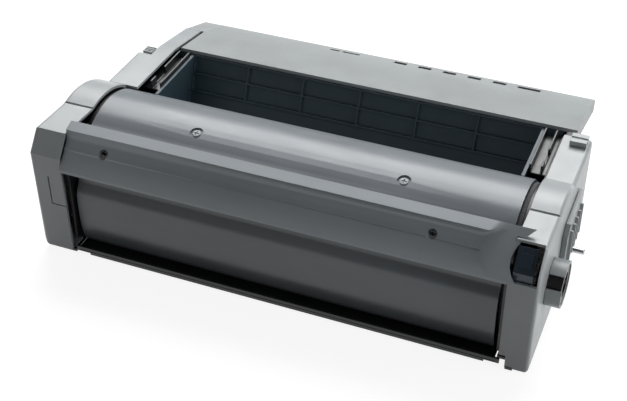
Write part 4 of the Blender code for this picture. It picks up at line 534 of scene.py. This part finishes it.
def open_foam(name, colour):
    """Open-cell polyurethane foam."""
    # Cut foam: matt, with open cells of about 0.5 mm whose hollows are darkened as painted shade, lighter
    # towards the cell walls.
    material, tree, shader, place = start_material(name)
    cells = add(tree, "ShaderNodeTexVoronoi", {"feature": "DISTANCE_TO_EDGE"}, {"Scale": 1 / (0.9 * MM)},
                (("Vector", place, "Object"),))
    tone = ramp(tree, cells, "Distance", (shade(colour, 1.2), shade(colour, 0.5)), 0.0, 0.4)
    tree.links.new(tone.outputs["Color"], shader.inputs["Base Color"])
    bump = add(tree, "ShaderNodeBump", {"invert": True}, {"Strength": 0.8, "Distance": 0.3 * MM},
               (("Height", cells, "Distance"),))
    tree.links.new(bump.outputs["Normal"], shader.inputs["Normal"])
    shader.inputs["Roughness"].default_value = 0.95
    return material


def cast_urethane(name):
    """Cast polyurethane strip, cut to width."""
    # Amber and slightly clear: light goes a little way in, and the cut edge is glossy.
    material, tree, shader, place = start_material(name)
    cloud = add(tree, "ShaderNodeTexNoise", values={"Scale": 1 / (12 * MM), "Detail": 2.0},
                links=(("Vector", place, "Object"),))
    tone = ramp(tree, cloud, "Fac", ("A8712B", "C08A42"), 0.3, 0.7)
    tree.links.new(tone.outputs["Color"], shader.inputs["Base Color"])
    shader.inputs["Roughness"].default_value = 0.35
    shader.inputs["Subsurface Weight"].default_value = 0.3
    shader.inputs["Subsurface Scale"].default_value = 1.5 * MM
    return material


def plated_contact(name):
    """Gold flash over nickel on copper pads."""
    # Flat bright pads, a little worn where the printer's pins slide.
    material, tree, shader, place = start_material(name)
    worn = add(tree, "ShaderNodeTexNoise", values={"Scale": 1 / (1.2 * MM), "Detail": 3.0},
               links=(("Vector", place, "Object"),))
    tone = ramp(tree, worn, "Fac", ("B79A55", "D3BC7C"), 0.35, 0.65)
    tree.links.new(tone.outputs["Color"], shader.inputs["Base Color"])
    shader.inputs["Metallic"].default_value = 1.0
    shader.inputs["Roughness"].default_value = 0.28
    return material


def make_materials(context):
    """Every finish of the cartridge, by its own name."""
    colours = context.scene.cartridge_colours
    grain = context.scene.cartridge_sizes.grain
    low, high, middle = box_of("drum")
    return {
        "cover": moulded_abs("moulded_abs_light_grey", colours.cover, 0.36, grain),
        # The rear cover's finish is the covers' grey made 7% darker: painted shade for the dimmer light on
        # the rear cover.
        "rear": moulded_abs("moulded_abs_light_grey_painted_shade", shade(colours.cover, 0.93), 0.4, grain),
        "barrel": moulded_abs("moulded_abs_mid_grey", colours.barrel, 0.33, grain, 0.45, 0.04,
                              (0.3, 1.0, 1.0)),
        "grip": moulded_abs("moulded_abs_grip_grey", colours.grip, 0.34, grain, 0.3, 0.03, (0.4, 1.0, 1.0)),
        "black": moulded_abs("moulded_abs_black", colours.black, 0.42, grain, 0.3, 0.1),
        "waste": moulded_abs("moulded_styrene_blue_black", colours.waste, 0.45, grain, 0.15, 0.05),
        "guide": moulded_abs("moulded_acetal_black", "16191B", 0.3, grain, 0.1, 0.05),
        "gear": moulded_abs("moulded_acetal_natural", colours.gear, 0.38, grain, 0.1, 0.02),
        "chip": moulded_abs("moulded_abs_deep_blue", colours.chip, 0.3, grain, 0.2, 0.05),
        "rod": turned_steel("ground_steel_rod"),
        "screw": turned_steel("blackened_screw_steel", "2A2C2E", "3A3C3F"),
        "strip": sheet_steel("zinc_plated_strip"),
        "drum": coated_drum("coated_aluminium_tube", colours.drum, low.x, high.x),
        "rubber": ground_rubber("ground_conductive_rubber", "1B1C1E", 0.5 * MM),
        "film": ground_rubber("polyester_film_black", "101113", 2.5 * MM, 0.4),
        "foam": open_foam("open_cell_foam", "4C4D50"),
        "urethane": cast_urethane("cast_urethane"),
        "contact": plated_contact("gold_flashed_pads"),
    }


MATERIALS = {}


# Outer pieces


class CARTRIDGE_OT_finishes(bpy.types.Operator):
    """Makes every finish of the cartridge"""

    bl_idname = "cartridge.finishes"
    bl_label = "Finishes"

    def execute(self, context):
        MATERIALS.update(make_materials(context))
        return {"FINISHED"}


class CARTRIDGE_OT_end_covers(bpy.types.Operator):
    """Rounds and finishes the end covers and the small pieces on them"""

    bl_idname = "cartridge.end_covers"
    bl_label = "End covers"

    def execute(self, context):
        sizes = context.scene.cartridge_sizes
        for node in ("left_end_cover", "left_side_cover"):
            rounded(node, MATERIALS["cover"], sizes.edge, sizes.edge_steps)
        right = copy_of("right_end_cover", "right_end_cover_moulded")
        # The rail's end has a notch in the cover's corner, and the chip's pocket is open towards the grip.
        boolean(right, block("rail_notch", (140.0, -4.0, -4.0), (148.7, 14.0, 8.0)), "DIFFERENCE")
        boolean(right, block("pocket_side", (142.0, -4.0, 64.5), (147.5, 12.5, 95.0)), "DIFFERENCE")
        dress(round_edges(right, sizes.edge, sizes.edge_steps), MATERIALS["cover"], "right_end_cover")
        for node in ("side_clip", "top_latch", "side_gear_cover", "coupling_collar"):
            rounded(node, MATERIALS["cover"], sizes.fine_edge, sizes.edge_steps)
        return {"FINISHED"}


class CARTRIDGE_OT_hopper(bpy.types.Operator):
    """Finishes the round hopper cover, the tub under it and its floor, the developer cap and the toner plug
    """

    bl_idname = "cartridge.hopper"
    bl_label = "Hopper"

    def execute(self, context):
        sizes = context.scene.cartridge_sizes
        cover = copy_of("hopper_cover", "hopper_cover_moulded")
        lower_front = block("lower_front", (BARREL_LEFT - 5.0, -5.0, -5.0), (BARREL_RIGHT + 5.0, 30.0, 52.0))
        boolean(cover, lower_front, "DIFFERENCE")
        front = walled(swept("hopper_front", self.front_rows(), (0.0, -1.0, 0.0)), sizes.hopper_wall)
        boolean(cover, front, "UNION")
        dress(round_edges(cover, sizes.fine_edge, sizes.edge_steps), MATERIALS["barrel"], "hopper_cover")
        rounded("hopper_tub", MATERIALS["black"], sizes.fine_edge, sizes.edge_steps)
        # The floor runs from the rail under the cover's foot, and is thicker where it carries the tub.
        section = [(1.6, -0.8), (40.0, -0.8), (40.0, 3.0), (15.9, 3.0), (15.9, 0.45), (1.6, 0.45)]
        floor = profile_bar("tub_front_floor", section, HOUSING_LEFT + PLAY, HOUSING_RIGHT - PLAY)
        dress(round_edges(floor, sizes.fine_edge), MATERIALS["black"], "hopper_tub")
        rounded("developer_cap", MATERIALS["black"], sizes.fine_edge, sizes.edge_steps)
        rounded("toner_plug", MATERIALS["gear"], sizes.fine_edge, sizes.edge_steps)
        return {"FINISHED"}

    def front_rows(self):
        """The barrel's front: a soft shoulder over an upright face, which turns in at its foot."""
        front = [polar(BARREL_RADIUS, 155.0), polar(BARREL_RADIUS, 159.0), (11.6, 48.2), (8.8, 43.8),
                 (7.5, 39.5), (7.2, 32.0), (7.5, 22.0), (8.4, 12.0), (10.6, 4.3), (13.0, 0.6)]
        return [[(BARREL_LEFT, y, z), (BARREL_RIGHT, y, z)] for y, z in flowing(front, 5)]


class CARTRIDGE_OT_grip(bpy.types.Operator):
    """Finishes the hollow front grip and the channel behind it"""

    bl_idname = "cartridge.grip"
    bl_label = "Front grip"

    def execute(self, context):
        sizes = context.scene.cartridge_sizes
        grip = swept("front_grip_moulded", self.rows(sizes), (0.0, -0.7, 0.7))
        pushed(grip, Vector((0.0, 0.9, -0.8)) * sizes.grip_wall)
        over_cover = [(-6.0, 58.0), (-6.0, 64.8), (12.2, 64.8), (12.2, 85.6), (44.5, 85.6), (44.5, 58.0)]
        boolean(grip, profile_bar("cover_room", over_cover, GRIP_COVER, 160.0), "DIFFERENCE")
        for x, y, z in GRIP_SCREWS:
            boolean(grip, rod("screw_well", (x, y - 5.0, z), (0.0, 1.0, 0.0), 3.0, 10.0), "DIFFERENCE")
            boolean(grip, rod("screw_hole", (x, y, z), (0.0, 1.0, 0.0), 1.7, 12.0), "DIFFERENCE")
        dress(round_edges(grip, sizes.edge, sizes.edge_steps, 30.0), MATERIALS["grip"], "front_grip")
        self.channel(sizes)
        self.rail(sizes)
        return {"FINISHED"}

    def rows(self, sizes):
        """Lines of points down the grip: a crest, the valley, a lip. On the right the valley folds out."""
        top, foot = Vector((18.0, 90.0)), Vector((-3.0, 66.0))
        crest, valley = sizes.grip_crest / MM, sizes.grip_valley / MM
        # Each point has its share of the way down, its depth behind the straight line from the top to the
        # foot, and its part in the valley's growth towards the right.
        hollow = flowing([(0.1, -crest), (0.17, -0.7 * crest), (0.25, -0.39 * crest),
                          (0.33, -0.11 * crest), (0.41, 0.5 * valley), (0.48, valley),
                          (0.53, 0.7 * valley), (0.57, 0.1 * valley)], 3)
        band = [(share, depth, math.sin(math.pi * (share - 0.1) / 0.47)) for share, depth in hollow]
        lip = [(0.62, valley, 0.7), (0.75, 0.8 * valley, 0.5), (0.9, 0.2, 0.2), (1.0, 0.0, 0.0)]
        # The right end curves out to the horn above this share, and to the lower corner below it.
        waist = 0.65
        rows = []
        for share, depth, growth in [(0.0, 0.0, 0.0)] + band + lip:
            reach = sizes.grip_horn / MM if share < waist else 5.0
            end = GRIP_COVER - 0.5 + reach * self.bow(share, waist)
            rows.append(self.row(share, top.lerp(foot, share), depth, growth * sizes.grip_growth / MM, end))
        rows.append(self.row(1.0, foot - Vector((0.0, 2.0)), 0.0, 0.0, GRIP_COVER))
        return rows

    def row(self, share, chord, depth, growth, end):
        """One line along the grip: the valley up to the fold, then the plate that it runs out in."""
        fold = 123.2 + 8.5 * self.bow(share, 0.57)
        row = []
        for i in range(7):
            s = i / 6
            row.append((GRIP_LEFT + (fold - GRIP_LEFT) * s, chord.x + depth + growth * s, chord.y))
        for i in range(1, 9):
            t = i / 8
            row.append((fold + (end - fold) * t, chord.x + (depth + growth) * (1.0 - t) ** 6, chord.y))
        return row

    def bow(self, share, waist):
        """Nought at the waist and one at the top and the foot."""
        reach = waist if share < waist else 1.0 - waist
        return ((share - waist) / reach) ** 2

    def channel(self, sizes):
        """U of black plastic behind the grip, open to the back, that the screws go into."""
        front, back, low, high, wall = 15.5, 20.9, 68.0, 81.0, 1.8
        section = [(back, low), (front, low), (front, high), (back, high), (back, high - wall),
                   (front + wall, high - wall), (front + wall, low + wall), (back, low + wall)]
        channel = profile_bar("front_crossbar_moulded", section, HOUSING_LEFT, HOUSING_RIGHT)
        dress(round_edges(channel, sizes.fine_edge), MATERIALS["black"], "front_crossbar")

    def rail(self, sizes):
        """Lip along the front, shallower at both ends, with a groove along its face."""
        rail = block("front_rail_moulded", (-138.0, 0.0, 0.5), (145.3, 1.6, 4.0))
        boolean(rail, block("rail_middle", (-128.4, 0.0, -0.9), (136.0, 1.6, 2.0)), "UNION")
        boolean(rail, block("rail_groove", (-136.0, -0.5, 1.4), (143.0, 0.4, 1.8)), "DIFFERENCE")
        # The rail takes the guide rails' black acetal instead of the covers' grey: painted shade for its dim
        # front face.
        dress(round_edges(rail, sizes.fine_edge), MATERIALS["guide"], "front_rail")


class CARTRIDGE_OT_frames(bpy.types.Operator):
    """Finishes the side frames and the guide rails"""

    bl_idname = "cartridge.frames"
    bl_label = "Side frames and guide rails"

    def execute(self, context):
        sizes = context.scene.cartridge_sizes
        # Each frame's foot reaches under its end cover. The right one has a toe beside the rail's end.
        low, high = -2.0, -0.05
        left_foot = block("foot", (-156.8, 1.0, low), (-139.2, 18.0, high))
        right_foot = block("foot", (142.5, 7.0, low), (153.5, 18.0, high))
        boolean(right_foot, block("toe", (149.0, -0.3, low), (153.5, 8.0, high)), "UNION")
        for node, foot in (("left_side_frame", left_foot), ("right_side_frame", right_foot)):
            plate = boolean(copy_of(node, node + "_moulded"), foot, "UNION")
            dress(round_edges(plate, sizes.fine_edge, sizes.edge_steps), MATERIALS["black"], node)
        for node in ("left_guide_rail", "right_guide_rail"):
            rounded(node, MATERIALS["guide"], sizes.guide_edge, sizes.edge_steps)
        return {"FINISHED"}


class CARTRIDGE_OT_waste_box(bpy.types.Operator):
    """Finishes the waste housing and its cover"""

    bl_idname = "cartridge.waste_box"
    bl_label = "Waste housing and rear cover"

    def execute(self, context):
        sizes = context.scene.cartridge_sizes
        # Flat shading: the bays pierce its wide faces, and smoothed normals would shade them unevenly.
        housing = copy_of("waste_housing", "waste_housing_moulded")
        edges = housing.modifiers.new("edges", "BEVEL")
        edges.width = sizes.rib_edge
        edges.segments = 1
        edges.limit_method = "ANGLE"
        edges.angle_limit = math.radians(40.0)
        apply_all(housing)
        bpy.ops.object.shade_flat()
        dress(housing, MATERIALS["waste"], "waste_housing")
        cover = copy_of("rear_cover", "rear_cover_moulded")
        for i in range(SLOT_COUNT):
            left = SLOT_START + i * SLOT_PITCH
            right = left + (LONG_SLOT_LENGTH if i == SLOT_COUNT - 1 else SLOT_LENGTH)
            boolean(cover, block("slot", (left, 202.4, 50.0), (right, 207.6, 72.0)), "DIFFERENCE")
        # The rear cover takes the covers' grey with painted shade, made darker than the other covers.
        dress(round_edges(cover, sizes.edge, sizes.edge_steps), MATERIALS["rear"], "rear_cover")
        return {"FINISHED"}


class CARTRIDGE_OT_coupling(bpy.types.Operator):
    """Finishes the drive coupling"""

    bl_idname = "cartridge.coupling"
    bl_label = "Drive coupling"

    def execute(self, context):
        sizes = context.scene.cartridge_sizes
        rounded("drive_coupling", MATERIALS["black"], sizes.fine_edge, sizes.edge_steps)
        return {"FINISHED"}


class CARTRIDGE_OT_chip(bpy.types.Operator):
    """Finishes the memory chip and its holder"""

    bl_idname = "cartridge.chip"
    bl_label = "Memory chip"

    def execute(self, context):
        sizes = context.scene.cartridge_sizes
        rounded("chip_holder", MATERIALS["chip"], sizes.fine_edge, sizes.edge_steps)
        rounded("memory_chip", MATERIALS["chip"], sizes.gear_edge, sizes.edge_steps)
        return {"FINISHED"}


def screw(name, node, axis, seat, head, material):
    """Pan-head screw with a cross recess. The axis points out of the head, from its seat."""
    deselect()
    height = 1.0 * MM
    bpy.ops.mesh.primitive_cylinder_add(vertices=32, radius=head, depth=height, location=(0, 0, height / 2))
    piece = bpy.context.object
    piece.name = name
    crown = piece.modifiers.new("crown", "BEVEL")
    crown.width = 0.45 * MM
    crown.segments = 4
    crown.limit_method = "ANGLE"
    apply_all(piece)
    deselect()
    bpy.ops.mesh.primitive_cube_add(size=1.0, location=(0, 0, height))
    cross = bpy.context.object
    cross.scale = (head * 1.25, 0.7 * MM, 1.3 * MM)
    settle(cross)
    deselect()
    bpy.ops.mesh.primitive_cube_add(size=1.0, location=(0, 0, height))
    bar = bpy.context.object
    bar.scale = (0.7 * MM, head * 1.25, 1.32 * MM)
    settle(bar)
    boolean(cross, bar, "UNION")
    boolean(piece, cross, "DIFFERENCE")
    deselect()
    bpy.ops.mesh.primitive_cylinder_add(vertices=20, radius=1.35 * MM, depth=5.6 * MM,
                                        location=(0, 0, -2.6 * MM))
    shank = bpy.context.object
    boolean(piece, shank, "UNION")
    piece.rotation_mode = "QUATERNION"
    piece.rotation_quaternion = Vector(axis).to_track_quat("Z", "Y")
    piece.location = seat
    settle(piece)
    make_active(piece)
    bpy.ops.object.shade_smooth_by_angle(angle=math.radians(30))
    return dress(piece, material, node)


class CARTRIDGE_OT_screws(bpy.types.Operator):
    """Makes the screws of the hopper cover and of the grip"""

    bl_idname = "cartridge.screws"
    bl_label = "Screws"

    def execute(self, context):
        head = context.scene.cartridge_sizes.screw_head
        tilt = math.radians(105.0 - 90.0)
        up = Vector((0.0, -math.sin(tilt), math.cos(tilt)))
        for side in ("left", "right"):
            node = "hopper_cover_screw_" + side
            seat = seat_of(node, up)
            screw(node + "_cross", node, up, seat, head, MATERIALS["cover"])
            node = "grip_screw_" + side
            seat = at(*GRIP_SCREWS[0 if side == "left" else 1])
            screw(node + "_cross", node, Vector((0.0, -1.0, 0.0)), seat, head * 0.85, MATERIALS["screw"])
        return {"FINISHED"}


def seat_of(node, axis):
    """Middle of a packed screw's seat: 1.1 mm below the top of its head, on its axis."""
    points = [v.co for v in frame["nodes"][node].data.vertices]
    top = max(p.dot(axis) for p in points)
    rim = [p for p in points if p.dot(axis) > top - 0.0002]
    middle = sum(rim, Vector()) / len(rim)
    return middle - axis * (1.1 * MM)


# Finish of each piece inside
FINISHES = {
    "drum": ("drum",),
    "rubber": ("developer_roller", "charge_roller"),
    "foam": ("supply_roller", "hopper_seal_left", "hopper_seal_right"),
    "rod": ("drum_shaft", "developer_shaft", "supply_shaft", "charge_shaft", "charge_spring_left",
            "charge_spring_right", "idler_stud", "waste_idler_stud"),
    "gear": ("drum_flange", "waste_auger", "charge_bearing_left", "charge_bearing_right"),
    "black": ("upper_agitator", "lower_agitator"),
    "strip": ("metering_blade", "blade_bracket"),
    "urethane": ("cleaning_blade",),
    "film": ("recovery_seal",),
}


class CARTRIDGE_OT_drum_unit(bpy.types.Operator):
    """Finishes the drum, its rollers and blades"""

    bl_idname = "cartridge.drum_unit"
    bl_label = "Drum, rollers and blades"

    def execute(self, context):
        sizes = context.scene.cartridge_sizes
        for finish, nodes in FINISHES.items():
            for node in nodes:
                rounded(node, MATERIALS[finish], sizes.gear_edge, 1)
        return {"FINISHED"}


class CARTRIDGE_OT_gears(bpy.types.Operator):
    """Finishes the gear train"""

    bl_idname = "cartridge.gears"
    bl_label = "Gear train"

    def execute(self, context):
        sizes = context.scene.cartridge_sizes
        for node in ("drive_gear", "idler_gear", "supply_gear", "developer_gear", "drum_gear",
                     "waste_idler_gear", "auger_gear", "upper_agitator_gear", "lower_agitator_gear"):
            rounded(node, MATERIALS["gear"], sizes.gear_edge, 1)
        return {"FINISHED"}


# Stage


class CARTRIDGE_OT_stage(bpy.types.Operator):
    """Lays the pale floor, sets the lamps and the camera"""

    bl_idname = "cartridge.stage"
    bl_label = "Stage"

    def execute(self, context):
        scene = context.scene
        stage = scene.cartridge_stage
        scene.view_settings.view_transform = "Standard"
        self.lay_floor(stage.bounce)
        self.light_sky(scene, stage.sky)
        # The key softbox hangs behind the part, so that tops are bright and fronts fall off as in the photo.
        self.lamp("key_softbox", (-0.2, 0.9, 1.1), (0.0, 0.0, 0.05), (1.5, 0.9), stage.key)
        self.lamp("side_softbox", (1.2, 0.0, 0.2), (0.1, 0.0, 0.05), (0.9, 0.9), stage.side)
        self.lamp("front_softbox", (-0.6, -0.9, 0.9), (0.0, 0.0, 0.05), (1.2, 1.2), stage.front)
        back = Vector((math.sin(stage.azimuth) * math.cos(stage.elevation),
                       -math.cos(stage.azimuth) * math.cos(stage.elevation), math.sin(stage.elevation)))
        data = bpy.data.cameras.new("camera")
        data.lens = stage.lens
        data.sensor_width = 36.0
        data.clip_start = 0.01
        data.clip_end = 50.0
        camera = bpy.data.objects.new("camera", data)
        scene.collection.objects.link(camera)
        camera.location = stage.place
        camera.rotation_euler = (-back).to_track_quat("-Z", "Y").to_euler()
        scene.camera = camera
        return {"FINISHED"}

    def lay_floor(self, bounce):
        deselect()
        bpy.ops.mesh.primitive_plane_add(size=8.0, location=(0.0, 0.0, -0.0002))
        floor = bpy.context.object
        floor.name = "floor"
        material = bpy.data.materials.new("white_paper_sweep")
        material.use_nodes = True
        tree = material.node_tree
        shader = tree.nodes["Principled BSDF"]
        shader.inputs["Base Color"].default_value = (bounce, bounce, bounce, 1.0)
        shader.inputs["Roughness"].default_value = 0.9
        shader.inputs["Specular IOR Level"].default_value = 0.2
        path = add(tree, "ShaderNodeLightPath")
        seen = add(tree, "ShaderNodeMath", {"operation": "MAXIMUM"},
                   links=((0, path, "Is Camera Ray"), (1, path, "Is Glossy Ray")))
        clear = add(tree, "ShaderNodeMath", {"operation": "MAXIMUM"},
                    links=((0, seen, "Value"), (1, path, "Is Transmission Ray")))
        # What the camera sees of the floor is lifted to white, and the part's shadow stays on it.
        lift = add(tree, "ShaderNodeMath", {"operation": "MULTIPLY"}, {1: 1.0 - 0.5 * bounce},
                   ((0, clear, "Value"),))
        glow = add(tree, "ShaderNodeEmission", links=(("Strength", lift, "Value"),))
        total = add(tree, "ShaderNodeAddShader", links=((0, shader, "BSDF"), (1, glow, "Emission")))
        tree.links.new(total.outputs["Shader"], tree.nodes["Material Output"].inputs["Surface"])
        floor.data.materials.append(material)

    def light_sky(self, scene, strength):
        world = bpy.data.worlds.new("studio")
        scene.world = world
        world.use_nodes = True
        tree = world.node_tree
        sky = tree.nodes["Background"]
        sky.inputs["Strength"].default_value = strength
        path = add(tree, "ShaderNodeLightPath")
        white = add(tree, "ShaderNodeBackground", values={"Strength": 1.0})
        white.inputs["Color"].default_value = (1.0, 1.0, 1.0, 1.0)
        seen = add(tree, "ShaderNodeMath", {"operation": "MAXIMUM"},
                   links=((0, path, "Is Camera Ray"), (1, path, "Is Transmission Ray")))
        mix = add(tree, "ShaderNodeMixShader",
                  links=((0, seen, "Value"), (1, sky, "Background"), (2, white, "Background")))
        sky.inputs["Color"].default_value = (1.0, 1.0, 1.0, 1.0)
        tree.links.new(mix.outputs["Shader"], tree.nodes["World Output"].inputs["Surface"])

    def lamp(self, name, place, target, size, power):
        data = bpy.data.lights.new(name, "AREA")
        data.shape = "RECTANGLE"
        data.size, data.size_y = size
        data.energy = power
        lamp = bpy.data.objects.new(name, data)
        bpy.context.scene.collection.objects.link(lamp)
        lamp.location = place
        lamp.rotation_euler = (Vector(target) - Vector(place)).to_track_quat("-Z", "Y").to_euler()


STEPS = (
    CARTRIDGE_OT_finishes,
    CARTRIDGE_OT_end_covers,
    CARTRIDGE_OT_hopper,
    CARTRIDGE_OT_grip,
    CARTRIDGE_OT_frames,
    CARTRIDGE_OT_waste_box,
    CARTRIDGE_OT_coupling,
    CARTRIDGE_OT_chip,
    CARTRIDGE_OT_screws,
    CARTRIDGE_OT_drum_unit,
    CARTRIDGE_OT_gears,
    CARTRIDGE_OT_stage,
)


class CARTRIDGE_PT_panel(bpy.types.Panel):
    bl_idname = "CARTRIDGE_PT_panel"
    bl_label = "Toner cartridge"
    bl_space_type = "VIEW_3D"
    bl_region_type = "UI"
    bl_category = "Cartridge"

    def draw(self, context):
        for group in (context.scene.cartridge_sizes, context.scene.cartridge_colours,
                      context.scene.cartridge_stage):
            column = self.layout.column()
            for key in group.__annotations__:
                column.prop(group, key)
        for step in STEPS:
            self.layout.operator(step.bl_idname)


GROUPS = (CartridgeSizes, CartridgeColours, StageSettings)


def register():
    for item in (*GROUPS, *STEPS, CARTRIDGE_PT_panel):
        bpy.utils.register_class(item)
    bpy.types.Scene.cartridge_sizes = PointerProperty(type=CartridgeSizes)
    bpy.types.Scene.cartridge_colours = PointerProperty(type=CartridgeColours)
    bpy.types.Scene.cartridge_stage = PointerProperty(type=StageSettings)


def unregister():
    del bpy.types.Scene.cartridge_stage
    del bpy.types.Scene.cartridge_colours
    del bpy.types.Scene.cartridge_sizes
    for item in reversed((*GROUPS, *STEPS, CARTRIDGE_PT_panel)):
        bpy.utils.unregister_class(item)


def main():
    register()
    for step in STEPS:
        group, action = step.bl_idname.split(".")
        getattr(getattr(bpy.ops, group), action)()


if __name__ == "__main__":
    main()
